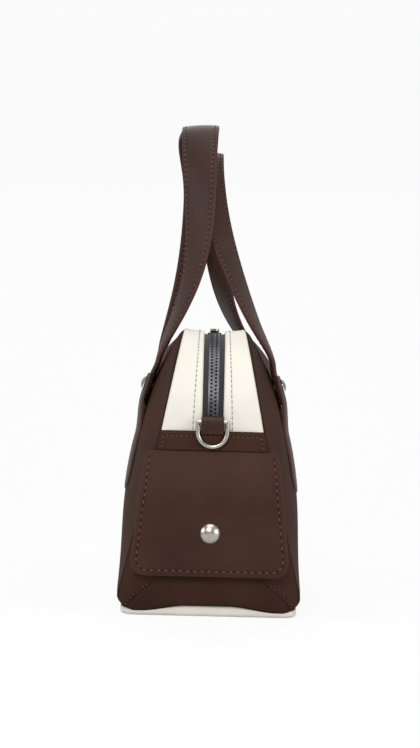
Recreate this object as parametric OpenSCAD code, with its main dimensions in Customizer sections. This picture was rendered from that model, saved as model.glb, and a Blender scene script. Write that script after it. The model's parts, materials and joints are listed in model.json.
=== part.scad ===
// Top handle bag: brown leather panels, a pale zip gusset and base, a snap-flap pocket and a
// D-ring at each end, and two twisted strap handles. X is the length, Y the depth (front is
// -Y), Z is up. The origin is the middle of the base, on the surface that the bag stands on.

/* [Body] */
// Length from end panel to end panel
body_len = 250; // [220:1:300]
// Height of the closed top
body_h = 175; // [160:1:200]
// Depth across the lower edges, before they tuck in to the base
base_depth = 115; // [104:1:125]
// Depth at the seam between end panel and gusset
seam_depth = 64; // [58:1:72]
// Depth of the gusset along the top
top_depth = 40; // [38:1:50]
// Radius of the two upper corners, seen from the front
corner_r = 54; // [40:1:62]
// How far the main panels belly out past their seams
belly = 16; // [6:1:18]
// Part of the half length over which the belly fades to the ends
belly_fade = 70; // [50:1:90]
// Thickness of the padded main panels
panel_t = 3; // [2.4:0.1:3.6]
// Thickness of the end leather
end_t = 1.6; // [1.2:0.1:2]
// Thickness of the lining
lining_t = 0.8; // [0.6:0.1:1.2]
// Height where the lining ends, below the zip
lining_drop = 9; // [7:0.5:14]

/* [Base] */
// How far the lower edges tuck in to the base on each side
base_tuck = 4; // [2:0.5:6]
// Height over which they tuck in
tuck_h = 10; // [6:0.5:14]
// Thickness of the base leather
base_t = 2.2; // [1.8:0.1:3]
// Height of the base where it turns up along front and rear
base_rim = 5; // [4:0.1:8]
// Height of the base rim in the middle of an end
end_rim = 6.4; // [5:0.1:9]
// Thickness of the turned-up rim
rim_t = 1.4; // [1:0.1:2]
// Thickness of the stiffening board
board_t = 2; // [1:0.1:3]
// Distance of the board from the base edges
board_inset = 9; // [7:0.5:20]

/* [Gusset and zip] */
// Thickness of the gusset leather with its folded edge
gusset_t = 2.4; // [1.8:0.1:3]
// Height of the seam where the gusset goes under the end band
seam_z = 112; // [100:1:118]
// Width of the gap between the two gusset edges
zip_gap = 12.8; // [11:0.1:16]
// Width of one tape, from the teeth to its hidden edge
tape_w = 9; // [7:0.1:12]
// Thickness of the tape
tape_t = 0.8; // [0.5:0.1:1]
// Width of the closed chain of teeth
chain_w = 6.4; // [5.6:0.1:7]
// Thickness of the chain
chain_t = 2.4; // [2:0.1:3]
// Distance from one tooth to the next on the same tape
tooth_pitch = 2.4; // [2.2:0.1:3]
// How far a tooth reaches past the middle of the chain
tooth_reach = 0.8; // [0.5:0.1:1]
// Length of a slider
slider_len = 12; // [10:0.5:14]
// Width of a slider
slider_w = 9; // [8.4:0.1:10]
// Thickness of a slider plate
slider_t = 1; // [0.8:0.1:1.2]
// Gap between the two sliders where they meet
slider_meet = 2; // [1:0.1:6]
// Length of a pull
pull_len = 26; // [20:1:34]
// Width of a pull
pull_w = 6; // [5:0.1:7]
// Thickness of a pull
pull_t = 1.2; // [1:0.1:1.6]

/* [End pocket and flap] */
// Depth of the pocket at each end
pocket_depth = 7; // [6:0.1:10]
// Thickness of the pocket leather
pocket_t = 1.5; // [1.2:0.1:2]
// Distance over which the pocket slopes out from its seams, the reach of its darts
dart_reach = 16; // [12:0.5:20]
// Height of the pocket's mouth, under the flap
mouth_z = 82; // [76:1:84]
// Height of the flap's hinge line
flap_top = 99; // [97:0.5:99]
// Height of the flap's lower edge
flap_low = 25; // [18:1:32]
// Width of the flap at its hinge line
flap_top_w = 82; // [76:1:86]
// Width of the flap at its lower edge
flap_low_w = 99; // [90:1:102]
// Thickness of the flap
flap_t = 2.4; // [2:0.1:3]
// Radius of the flap's lower corners
flap_r = 9.5; // [6:0.5:14]
// Radius of the flap's upper corners
flap_top_r = 4; // [2:0.5:6]
// Length over which the flap curves out from its hinge line
flap_curve = 30; // [24:1:36]
// Height of the snap's centre
snap_z = 51; // [45:1:60]
// Radius of the snap's domed cap
cap_r = 6.2; // [5.5:0.1:7]
// Height of the dome
cap_h = 3.2; // [2.6:0.1:4]
// Radius of the stud's button
stud_r = 2.9; // [2.5:0.1:3.2]
// Depth of the space between pocket and flap, which the snap fills
snap_gap = 2.6; // [2.4:0.1:3.2]

/* [Ring] */
// Width inside the D-ring
ring_inner = 15; // [13:0.5:16]
// Diameter of the ring's wire
wire = 2.8; // [2.4:0.1:3]
// Height of the D-ring
ring_h = 18; // [16:0.5:18]
// Height of the ring's straight bar
bar_z = 118; // [117.5:0.5:119]
// Width of the ring tab
ring_tab_w = 14; // [10:0.5:14]
// Thickness of the ring tab's leather
ring_tab_t = 1.4; // [1:0.1:1.6]
// Thickness of the band over the end seam
band_t = 1.2; // [1:0.1:1.6]

/* [Handles] */
// Height of the middle of the front strap at its crown
front_crown = 310.5; // [300:0.5:330]
// How much lower the rear handle's crown passes below the front one
crown_nest = 10.5; // [10:0.5:16]
// Distance from one leg of a handle to the other
handle_span = 140; // [130:1:150]
// Width of the strap
strap_w = 24.5; // [22:0.5:26]
// Thickness of the strap
strap_t = 2.8; // [2.4:0.1:3.2]
// Height of the line where a handle folds
fold_z = 151; // [149:0.5:153]
// Depth place of the front handle's crown
front_crown_y = -5.5; // [-8:0.5:-2]
// Depth place of the rear handle's crown
rear_crown_y = -3; // [-5:0.5:2]
// How far the rear handle's right leg swings out, and its left one in, half-way up
rear_swing = 4.5; // [0:0.5:5]
// Thickness of the tab over a strap's end
tab_t = 1.8; // [1.4:0.1:2.2]
// Width of the tab
tab_w = 27; // [26.5:0.5:30]
// Height of the tab's upper edge
tab_top = 147; // [146:0.5:147.5]
// Height of the tab's rounded lower end
tab_low = 73; // [65:1:85]
// Height of the strap's hidden end
strap_low = 118; // [112:1:124]
// Height of the rivet
rivet_z = 139; // [136:0.5:140]
// Radius of the rivet's cap
rivet_r = 4.4; // [4:0.1:5]

/* [Fits] */
// Gap between pieces that are sewn or laid together
seam_gap = 0.3; // [0.2:0.05:0.4]
// Gap round pieces that move
run_gap = 0.35; // [0.3:0.05:0.4]

/* [Hidden] */
$fn = 48;
brown = [0.27, 0.19, 0.165];
ivory = [0.94, 0.93, 0.89];
black = [0.1, 0.1, 0.1];
nickel = [0.75, 0.74, 0.72];
cloth = [0.36, 0.3, 0.26];

// One overrun for every cut
over = base_t;

half_len = body_len / 2;
corner_x = half_len - corner_r;
corner_z = body_h - corner_r;
base_half = base_depth / 2;
seam_half = seam_depth / 2;
top_half = top_depth / 2;
chain_sink = gusset_t + seam_gap + tape_t / 2;

// How far the lower edge is tucked in at height z, in a rounded turn
function tuck(z) = base_tuck * (1 - min(1, max(0, (z - base_rim) / tuck_h))) ^ 2;

// Half the depth at the end seam and the gusset edge, which narrows upwards in two straights
function edge_half(z) =
    z < seam_z
    ? base_half + (seam_half - base_half) * z / seam_z - tuck(z)
    : seam_half + (top_half - seam_half) * (z - seam_z) / (body_h - seam_z);

// Height of the bag's outline over x, flat on top with a quarter circle at each end
function outline_z(x) =
    abs(x) <= corner_x
    ? body_h
    : corner_z + sqrt(max(0, corner_r ^ 2 - (abs(x) - corner_x) ^ 2));

// Half the length inside the outline at height z, for an outline set in by a given amount
function outline_x(z, inset) =
    z <= corner_z
    ? half_len - inset
    : corner_x + sqrt(max(0, (corner_r - inset) ^ 2 - (z - corner_z) ^ 2));

// Share of the belly over the length: full in the middle, none at the end seams
function fade_share(x) =
    cos(90 * max(0, (abs(x) - half_len + belly_fade) / belly_fade));

// Share of the belly over the height, from the outline down to the base
belly_shape_share = 0.8;
function belly_share(x, z) =
    let (down = (outline_z(x) - z) / (outline_z(x) - base_rim))
    sin(180 * min(1, max(0, down)) ^ belly_shape_share);

// Half the depth of the outside of the bag anywhere on a main panel
function side_half(x, z) =
    edge_half(z) + belly * fade_share(min(abs(x), half_len)) * belly_share(x, z);

// Quads between two grids of points, an outer and an inner one, closed round their edges.
// Each grid has cols columns of rows points, outer grid first.
function shell_faces(cols, rows) =
    let (
        inner = cols * rows,
        at = function (i, j) i * rows + j
    )
    concat(
        [for (i = [0:cols - 2], j = [0:rows - 2])
            [at(i, j), at(i, j + 1), at(i + 1, j + 1), at(i + 1, j)]],
        [for (i = [0:cols - 2], j = [0:rows - 2])
            [inner + at(i, j), inner + at(i + 1, j),
                inner + at(i + 1, j + 1), inner + at(i, j + 1)]],
        [for (i = [0:cols - 2])
            [at(i, 0), at(i + 1, 0), inner + at(i + 1, 0), inner + at(i, 0)]],
        [for (i = [0:cols - 2])
            [at(i + 1, rows - 1), at(i, rows - 1),
                inner + at(i, rows - 1), inner + at(i + 1, rows - 1)]],
        [for (j = [0:rows - 2])
            [at(0, j + 1), at(0, j), inner + at(0, j), inner + at(0, j + 1)]],
        [for (j = [0:rows - 2])
            [at(cols - 1, j), at(cols - 1, j + 1),
                inner + at(cols - 1, j + 1), inner + at(cols - 1, j)]]
    );

// Triangles of a shell, each quad cut once
function cut_quads(quads) =
    [for (q = quads) each [[q[0], q[1], q[2]], [q[0], q[2], q[3]]]];

// A piece of leather that follows the front of the bag. xs lists its columns, lows and
// highs the ends of each column, shares where the rows lie between them, and stand(z) is
// how far its outside stands off the panel.
module front_skin(xs, lows, highs, shares, stand, thick) {
    outer = [for (i = [0:len(xs) - 1], share = shares)
        let (z = lows[i] + (highs[i] - lows[i]) * share)
        [xs[i], -side_half(xs[i], z) - stand(z), z]];
    inner = [for (p = outer) p + [0, thick, 0]];
    polyhedron(
        concat(outer, inner),
        cut_quads(shell_faces(len(xs), len(shares)))
    );
}

function unit(a) = a / norm(a);

// Columns across a width, evenly spaced
function columns(from, to, count) =
    [for (i = [0:count - 1]) from + (to - from) * i / (count - 1)];

// Rows of a main panel, closer together where it tucks in to the base
panel_rows = concat([0, 0.02, 0.045], columns(0.08, 1, 12));
module main_panel() {
    xs = columns(-half_len, half_len, 31);
    lows = [for (x = xs) base_rim + seam_gap];
    highs = [for (x = xs) outline_z(x)];
    color(brown)
        difference() {
            front_skin(xs, lows, highs, panel_rows, function (z) 0, panel_t);
            rivet_posts(-panel_t / 2, seam_gap / 4);
        }
}

module front_panel() {
    main_panel();
}

module rear_panel() {
    mirror([0, 1, 0])
        main_panel();
}

// The bag's outline seen from the front, set in all round but for the bottom
module side_outline(inset) {
    translate([-half_len + inset, 0])
        square([body_len - 2 * inset, corner_z]);
    translate([-corner_x, 0])
        square([2 * corner_x, body_h - inset]);
    for (side = [-1, 1])
        translate([side * corner_x, corner_z])
            circle(r = corner_r - inset, $fn = 96);
}

// A strip of even thickness along the outline above a given height, from y_from to y_to
module outline_strip(inset, thick, from_z, y_from, y_to) {
    translate([0, y_to, 0])
        rotate([90, 0, 0])
            linear_extrude(y_to - y_from)
                difference() {
                    side_outline(inset);
                    side_outline(inset + thick);
                    translate([-body_len, -over])
                        square([2 * body_len, from_z + over]);
                }
}

// Everything in front of the zip and inside the edge seams, seen from the end
module gusset_window() {
    reach = panel_t + seam_gap;
    translate([-body_len, 0, 0])
        rotate([90, 0, 90])
            linear_extrude(2 * body_len)
                polygon([
                    [-zip_gap / 2, seam_z - over],
                    [-edge_half(seam_z) + reach, seam_z - over],
                    [-edge_half(seam_z) + reach, seam_z],
                    [-edge_half(body_h) + reach, body_h],
                    [-edge_half(body_h) + reach, body_h + over],
                    [-zip_gap / 2, body_h + over]
                ]);
}

module half_gusset() {
    color(ivory)
        intersection() {
            outline_strip(0, gusset_t, seam_z, -seam_half, 0);
            gusset_window();
        }
}

module front_gusset() {
    half_gusset();
}

module rear_gusset() {
    mirror([0, 1, 0])
        half_gusset();
}

// Outline of an end piece between two heights, seen from the end. The edges stay inside the
// main panels and follow their tuck.
tuck_rows = columns(base_rim + seam_gap, base_rim + tuck_h, 5);
module end_outline(low, high) {
    reach = panel_t + seam_gap;
    heights = concat([low], [for (z = tuck_rows) if (z > low) z], [high]);
    right = [for (z = heights) [edge_half(z) - reach, z]];
    polygon(concat(
        right,
        [for (i = [len(right) - 1:-1:0]) [-right[i][0], right[i][1]]]
    ));
}

// A flat piece at the right end, from x_from outwards, drawn in the plane of the end
module end_sheet(x_from, thick) {
    translate([x_from, 0, 0])
        rotate([90, 0, 90])
            linear_extrude(thick)
                children();
}

// Puts what is drawn for the right end at the left end
module left_end() {
    mirror([1, 0, 0])
        children();
}

band_low = flap_top + run_gap + flap_t / 2;
module end_panel() {
    color(brown)
        end_sheet(half_len - end_t, end_t)
            end_outline(base_rim + seam_gap, seam_z - seam_gap);
}

module right_end_panel() {
    end_panel();
}

module left_end_panel() {
    left_end()
        end_panel();
}

module end_band() {
    color(brown)
        end_sheet(half_len + seam_gap / 2, band_t)
            end_outline(band_low, seam_z);
}

module right_end_band() {
    end_band();
}

module left_end_band() {
    left_end()
        end_band();
}

// The base seen from above
base_corner_share = 1.6;
base_corner_r = base_rim * base_corner_share;
foot_half = base_half - base_tuck;
module base_outline(inset) {
    x_side = half_len + rim_t + seam_gap - inset;
    y_side = foot_half - inset;
    r = max(base_corner_r - inset, rim_t);
    translate([-x_side + r, -y_side])
        square([2 * (x_side - r), 2 * y_side]);
    translate([-x_side, -y_side + r])
        square([2 * x_side, 2 * (y_side - r)]);
    for (sx = [-1, 1], sy = [-1, 1])
        translate([sx * (x_side - r), sy * (y_side - r)])
            circle(r = r);
}

// Shares of the end rim's height over the base half width, from the middle to the corner:
// low under the darts and turned up again at the corner
rim_shares = [
    [0, 1], [0.35, 0.95], [0.6, 0.7], [0.8, 0.42], [0.93, 0.5], [1, base_rim / end_rim]
];
module rim_window() {
    side = [for (p = rim_shares) [p[0] * foot_half, p[1] * end_rim]];
    translate([-body_len, 0, 0])
        rotate([90, 0, 90])
            linear_extrude(2 * body_len)
                polygon(concat(
                    [for (i = [len(side) - 1:-1:1]) [-side[i][0], side[i][1]]],
                    side,
                    [[base_half + over, base_rim]],
                    [[base_half + over, -over], [-base_half - over, -over]],
                    [[-base_half - over, base_rim]]
                ));
}

module base_panel() {
    color(ivory)
        difference() {
            intersection() {
                linear_extrude(end_rim)
                    base_outline(0);
                rim_window();
            }
            translate([0, 0, base_t])
                linear_extrude(end_rim)
                    base_outline(rim_t);
        }
}

board_z = base_t + seam_gap;
module base_board() {
    color(cloth)
        translate([0, 0, board_z])
            linear_extrude(board_t)
                base_outline(board_inset);
}

// Half the width of the lining's outside at height z, at a share of its length
lining_inset = gusset_t + 2 * seam_gap + tape_t + end_t;
lining_x_shares = [-1, -0.92, -0.78, -0.6, -0.35, 0, 0.35, 0.6, 0.78, 0.92, 1];
lining_gap = 2.5 * seam_gap;
function lining_half(x, z, inset) =
    max(top_half / 3, side_half(x, z) - panel_t - lining_gap - inset);

// One loop of the lining at height z, front side first
function lining_loop(z, inset) =
    let (long = outline_x(z, lining_inset + inset))
    concat(
        [for (s = lining_x_shares) [s * long, -lining_half(s * long, z, inset), z]],
        [for (i = [len(lining_x_shares) - 1:-1:0])
            let (x = lining_x_shares[i] * long)
            [x, lining_half(x, z, inset), z]]
    );

lining_low = board_z + board_t + seam_gap;
lining_high = body_h - lining_drop;
module lining() {
    rows = 13;
    heights = columns(lining_low, lining_high, rows);
    n = 2 * len(lining_x_shares);
    outer = [for (z = heights) each lining_loop(z, 0)];
    inner = [for (i = [0:rows - 1])
        each lining_loop(i == 0 ? lining_low + lining_t : heights[i], lining_t)];
    side = [for (j = [0:rows - 2], i = [0:n - 1])
        let (k = (i + 1) % n)
        [j * n + i, j * n + k, (j + 1) * n + k, (j + 1) * n + i]];
    in = rows * n;
    color(cloth)
        polyhedron(
            concat(outer, inner),
            concat(
                cut_quads([for (q = side) [q[0], q[3], q[2], q[1]]]),
                cut_quads([for (q = side) [for (k = q) in + k]]),
                cut_quads([for (i = [0:n / 2 - 2]) [i, i + 1, n - 2 - i, n - 1 - i]]),
                cut_quads([for (i = [0:n / 2 - 2])
                    [in + n - 1 - i, in + n - 2 - i, in + i + 1, in + i]]),
                cut_quads([for (i = [0:n - 1])
                    let (k = (i + 1) % n, top = (rows - 1) * n)
                    [top + i, in + top + i, in + top + k, top + k]])
            )
        );
}

// Slip pocket sewn to the rear of the lining
slip_half_share = 0.28;
slip_low_share = 0.3;
slip_high_share = 0.62;
module slip_pocket() {
    stand = panel_t + lining_gap + seam_gap + 2 * lining_t;
    xs = columns(-slip_half_share * body_len, slip_half_share * body_len, 7);
    color(cloth)
        mirror([0, 1, 0])
            front_skin(
                xs,
                [for (x = xs) slip_low_share * body_h],
                [for (x = xs) slip_high_share * body_h],
                columns(0, 1, 5), function (z) -stand, lining_t
            );
}

// A shape with sloping sides at the right end: its foot is set in from the edges and its
// flat face stands out by depth, dart_reach further in. The slopes meet in the darts, and
// the foot's lower corners follow the tuck.
module hipped(low, high, inset, depth) {
    foot = function (z) edge_half(z) - inset;
    face = function (z) edge_half(z) - inset - dart_reach;
    x0 = half_len + seam_gap;
    start = low + dart_reach;
    turn = base_rim + tuck_h;
    polyhedron(
        [
            [x0, -foot(low), low], [x0, foot(low), low],
            [x0, foot(high), high], [x0, -foot(high), high],
            [x0 + depth, -face(start), start], [x0 + depth, face(start), start],
            [x0 + depth, face(high), high], [x0 + depth, -face(high), high],
            [x0, -foot(turn), turn], [x0, foot(turn), turn]
        ],
        [
            [0, 1, 9, 2, 3, 8], [7, 6, 5, 4], [4, 5, 1, 0],
            [5, 9, 1], [5, 6, 2, 9], [6, 7, 3, 2], [4, 0, 8], [7, 4, 8, 3]
        ]
    );
}

pocket_low = base_t + seam_gap;
pocket_x = half_len + seam_gap + pocket_depth;
post_r = stud_r * 0.5;
module snap_axis(x) {
    translate([x, 0, snap_z])
        rotate([0, 90, 0])
            children();
}

module pocket() {
    flange = 2 * pocket_t;
    color(brown)
        difference() {
            hipped(pocket_low, mouth_z, seam_gap, pocket_depth);
            hipped(end_rim + flange, mouth_z + over, flange, pocket_depth - pocket_t);
            translate([0, 0, seam_gap])
                rim_window();
            snap_axis(pocket_x - 2 * pocket_t)
                cylinder(r = post_r + seam_gap / 4, h = 3 * pocket_t);
        }
}

module right_pocket() {
    pocket();
}

module left_pocket() {
    left_end()
        pocket();
}

// The flap's middle line, seen from the front: a curve out from the hinge, then straight down
flap_x = pocket_x + snap_gap + flap_t / 2;
hinge_x = half_len + seam_gap + flap_t / 2;
flap_line = concat(
    [for (t = columns(0, 1, 11))
        [hinge_x + (flap_x - hinge_x) * sin(90 * t), flap_top - flap_curve * t]],
    [[flap_x, flap_low]]
);
module flap_profile() {
    last = len(flap_line) - 1;
    square_to = [for (i = [0:last])
        let (along = unit(flap_line[min(last, i + 1)] - flap_line[max(0, i - 1)]))
        [-along[1], along[0]]];
    h = flap_t / 2;
    from = atan2(square_to[0][1], square_to[0][0]);
    polygon(concat(
        [for (i = [1:last - 1]) flap_line[i] + square_to[i] * h],
        [[flap_x + h, flap_low], [flap_x - h, flap_low]],
        [for (i = [last - 1:-1:1]) flap_line[i] - square_to[i] * h],
        [for (a = columns(from + 180, from, 13)) flap_line[0] + h * [cos(a), sin(a)]]
    ));
}

module flap_outline() {
    top = flap_top + flap_t / 2;
    lean = atan((flap_low_w - flap_top_w) / 2 / (top - flap_low));
    foot = [flap_low_w / 2 - flap_r / tan((90 - lean) / 2), flap_low + flap_r];
    head = [flap_top_w / 2 - flap_top_r / tan((90 + lean) / 2), top - flap_top_r];
    right = concat(
        [for (a = columns(-90, lean, 13)) foot + flap_r * [cos(a), sin(a)]],
        [for (a = columns(lean, 90, 7)) head + flap_top_r * [cos(a), sin(a)]]
    );
    polygon(concat(
        right,
        [for (i = [len(right) - 1:-1:0]) [-right[i][0], right[i][1]]]
    ));
}

module flap() {
    color(brown)
        difference() {
            intersection() {
                translate([0, flap_low_w, 0])
                    rotate([90, 0, 0])
                        linear_extrude(2 * flap_low_w)
                            flap_profile();
                end_sheet(half_len, 2 * pocket_depth + snap_gap)
                    flap_outline();
            }
            snap_axis(flap_x - flap_t)
                cylinder(r = post_r + seam_gap / 4, h = 2 * flap_t);
        }
}

module right_flap() {
    flap();
}

module left_flap() {
    left_end()
        flap();
}

// Domed cap outside the flap with the post that goes through it
module snap_cap() {
    ball = (cap_r ^ 2 + cap_h ^ 2) / (2 * cap_h);
    color(nickel)
        snap_axis(flap_x + flap_t / 2) {
            rotate_extrude()
                intersection() {
                    translate([0, cap_h - ball])
                        circle(r = ball, $fn = 96);
                    square([cap_r, cap_h]);
                }
            translate([0, 0, -flap_t])
                cylinder(r = post_r, h = flap_t + cap_h / 2);
        }
}

module right_snap_cap() {
    snap_cap();
}

module left_snap_cap() {
    left_end()
        snap_cap();
}

// Ring behind the flap that closes over the stud
snap_plate = snap_gap / 5;
socket_r = stud_r + run_gap + snap_plate * 2;
stud_h = snap_gap - snap_plate - run_gap;
module snap_socket() {
    color(nickel)
        snap_axis(flap_x - flap_t / 2 - stud_h)
            difference() {
                cylinder(r = socket_r, h = stud_h);
                translate([0, 0, -over])
                    cylinder(r = stud_r + run_gap, h = over + stud_h - snap_plate);
            }
}

module right_snap_socket() {
    snap_socket();
}

module left_snap_socket() {
    left_end()
        snap_socket();
}

// Stud on the pocket: back plate, post, foot and button
module snap_stud() {
    back_r = socket_r - snap_plate;
    color(nickel) {
        snap_axis(pocket_x - pocket_t - snap_plate)
            cylinder(r = back_r, h = snap_plate);
        snap_axis(pocket_x - pocket_t)
            cylinder(r = post_r, h = pocket_t);
        snap_axis(pocket_x)
            cylinder(r = back_r, h = snap_plate);
        snap_axis(pocket_x + snap_plate)
            cylinder(r = stud_r, h = stud_h - snap_plate);
    }
}

module right_snap_stud() {
    snap_stud();
}

module left_snap_stud() {
    left_end()
        snap_stud();
}

// Tab folded round the bar of the D-ring, sewn over the end of the zip
bar_r = wire / 2;
loop_r = bar_r + run_gap + ring_tab_t;
bar_x = half_len + seam_gap / 2 + loop_r;
module ring_tab() {
    color(brown)
        translate([0, ring_tab_w / 2, 0])
            rotate([90, 0, 0])
                linear_extrude(ring_tab_w)
                    difference() {
                        union() {
                            translate([bar_x, bar_z])
                                circle(r = loop_r);
                            translate([bar_x - loop_r, seam_z + seam_gap])
                                square([ring_tab_t, bar_z - seam_z - seam_gap]);
                        }
                        translate([bar_x, bar_z])
                            circle(r = bar_r + run_gap);
                    }
}

module right_ring_tab() {
    ring_tab();
}

module left_ring_tab() {
    left_end()
        ring_tab();
}

// D-ring hanging from its straight bar
module d_ring() {
    bend = ring_inner / 2 + bar_r;
    leg = ring_h - 2 * bar_r - bend;
    color(nickel)
        translate([bar_x, 0, bar_z]) {
            rotate([90, 0, 0])
                cylinder(r = bar_r, h = 2 * bend, center = true, $fn = 32);
            for (m = [-1, 1])
                translate([0, m * bend, 0]) {
                    sphere(r = bar_r, $fn = 32);
                    translate([0, 0, -leg])
                        cylinder(r = bar_r, h = leg, $fn = 32);
                }
            translate([0, 0, -leg])
                rotate([90, 0, 90])
                    rotate([0, 0, 180])
                        rotate_extrude(angle = 180)
                            translate([bend, 0])
                                circle(r = bar_r, $fn = 32);
        }
}

module right_d_ring() {
    d_ring();
}

module left_d_ring() {
    left_end()
        d_ring();
}

tape_inset = gusset_t + seam_gap;
module zip_tape() {
    color(black)
        outline_strip(tape_inset, tape_t, seam_z, -chain_w / 2 - tape_w, -chain_w / 2);
}

module front_zip_tape() {
    zip_tape();
}

module rear_zip_tape() {
    mirror([0, 1, 0])
        zip_tape();
}

// Place along the middle of the chain, counted from the top centre: x, z and turn
chain_r = corner_r - chain_sink;
chain_bend = chain_r * PI / 2;
function chain_place(s) =
    let (a = abs(s), m = sign(s))
    a <= corner_x
    ? [s, corner_z + chain_r, 0]
    : a <= corner_x + chain_bend
    ? let (turn = (a - corner_x) / chain_bend * 90)
        [m * (corner_x + chain_r * sin(turn)), corner_z + chain_r * cos(turn), m * turn]
    : [m * (corner_x + chain_r), corner_z - (a - corner_x - chain_bend), m * 90];

stop_len = tooth_pitch;
chain_half = corner_x + chain_bend + corner_z - seam_z - stop_len - seam_gap;
tooth_gap = seam_gap / 1.5;
tooth_len = tooth_pitch / 2 - tooth_gap;
bead_w = chain_w / 5;
bead_t = chain_t * 0.75;

// A row of teeth on the front tape. shift moves it along the chain.
module teeth_row(shift) {
    count = floor((chain_half - tooth_pitch) / tooth_pitch);
    root = -chain_w / 2 + bead_w / 2;
    color(black)
        union() {
            outline_strip(
                chain_sink - bead_t / 2, bead_t, seam_z + stop_len + seam_gap,
                -chain_w / 2, -chain_w / 2 + bead_w
            );
            for (i = [-count:count]) {
                place = chain_place(i * tooth_pitch + shift);
                translate([place[0], 0, place[1]])
                    rotate([0, place[2], 0])
                        translate([-tooth_len / 2, root, -chain_t / 2])
                            cube([tooth_len, tooth_reach - root, chain_t]);
            }
        }
}

module front_zip_teeth() {
    teeth_row(0);
}

module rear_zip_teeth() {
    mirror([0, 1, 0])
        teeth_row(tooth_pitch / 2);
}

module zip_stops() {
    color(black)
        for (m = [-1, 1])
            translate([m * (half_len - chain_sink), 0, seam_z + stop_len / 2])
                cube([chain_t, chain_w, stop_len], center = true);
}

// Two plates over and under the chain, with ears and a pin for the pull
slider_x = slider_meet / 2;
plate_top = corner_z + chain_r + chain_t / 2 + run_gap + slider_t;
eye_r = pull_t;
pin_r = eye_r / 2;
lug_x = slider_x + slider_len / 2;
lug_z = plate_top + run_gap + eye_r;
eye_w = pull_w / 2.5;
ear_t = slider_t;
module slider() {
    gap = chain_t / 2 + run_gap;
    color(nickel) {
        for (m = [-1, 1])
            translate([
                slider_x, -slider_w / 2,
                corner_z + chain_r + (m > 0 ? gap : -gap - slider_t)
            ])
                cube([slider_len, slider_w, slider_t]);
        for (m = [-1, 1])
            translate([lug_x, m * (eye_w / 2 + run_gap + ear_t / 2), 0]) {
                translate([-eye_r, -ear_t / 2, plate_top])
                    cube([2 * eye_r, ear_t, lug_z - plate_top]);
                translate([0, ear_t / 2, lug_z])
                    rotate([90, 0, 0])
                        cylinder(r = eye_r, h = ear_t);
            }
        translate([lug_x, (eye_w / 2 + run_gap + ear_t / 2), lug_z])
            rotate([90, 0, 0])
                cylinder(r = pin_r, h = eye_w + 2 * run_gap + ear_t, $fn = 24);
    }
}

module right_slider() {
    slider();
}

module left_slider() {
    left_end()
        slider();
}

// Pull: an eye round the slider's pin, a neck and a plate with a hole near its end
pin_play = pin_r / 8;
neck_share = 1.6;
module pull() {
    neck = neck_share * eye_r;
    tip = pull_w / 2;
    color(nickel)
        translate([lug_x, 0, lug_z])
            difference() {
                union() {
                    rotate([90, 0, 0])
                        cylinder(r = eye_r, h = eye_w, center = true);
                    translate([0, -eye_w / 2, -pull_t / 2])
                        cube([2 * neck, eye_w, pull_t]);
                    translate([neck + run_gap, -pull_w / 2, -pull_t / 2])
                        cube([pull_len - neck - run_gap - tip, pull_w, pull_t]);
                    translate([pull_len - tip, 0, -pull_t / 2])
                        cylinder(r = tip, h = pull_t);
                }
                rotate([90, 0, 0])
                    cylinder(r = pin_r + pin_play, h = 2 * eye_w, center = true, $fn = 24);
                translate([pull_len - tip, 0, -pull_t])
                    cylinder(r = tip / 2, h = 2 * pull_t);
            }
}

module right_pull() {
    pull();
}

module left_pull() {
    left_end()
        pull();
}

// The strap of a handle is an arch. v runs from -1 at the left leg to 1 at the right one.
// width_power above or below 1 draws the shoulders in or out, lean_power sets how soon the
// strap leans in to its crown once it has left the panel, and swing moves the right leg out
// and the left one in.
leg_x = handle_span / 2;
leg_y = -side_half(leg_x, fold_z) - 2 * seam_gap - strap_t / 2;
rise_power = 0.45;
turn_power = 0.7;
leave_power = 11;
crown_round = 0.15;
turn_start_power = 8;
swing_from = 0.08;
swing_span = 0.5;
function rounded_sin(v) =
    sqrt((sin(90 * v) ^ 2 + crown_round ^ 2) / (1 + crown_round ^ 2));
function arch_rise(v, width_power) =
    max(0, 1 - rounded_sin(v) ^ (2 / width_power)) ^ rise_power;
function swing_share(h) = sin(180 * min(1, max(0, (h - swing_from) / swing_span))) ^ 2;
function arch_point(v, crown, crown_y, width_power, lean_power, swing) =
    let (
        h = arch_rise(v, width_power),
        lean = (1 - (1 - h) ^ lean_power) * (1 - (1 - h) ^ leave_power)
    )
    [
        leg_x * sin(90 * v),
        leg_y + (crown_y - leg_y) * lean - sign(v) * swing * swing_share(h),
        fold_z + (crown - fold_z) * h
    ];

// Turn of the strap about its own line: none at the legs, a quarter at the crown
function arch_turn(v, width_power) =
    90 * (acos(abs(sin(90 * v)) ^ (1 / width_power)) / 90) ^ turn_power
    * (1 - (1 - arch_rise(v, width_power)) ^ turn_start_power);

// Section of the strap in shares of its width and thickness
section_shares = [
    [0.5, -0.3], [0.5, 0.3], [0.46, 0.5], [-0.46, 0.5],
    [-0.5, 0.3], [-0.5, -0.3], [-0.46, -0.5], [0.46, -0.5]
];

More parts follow.
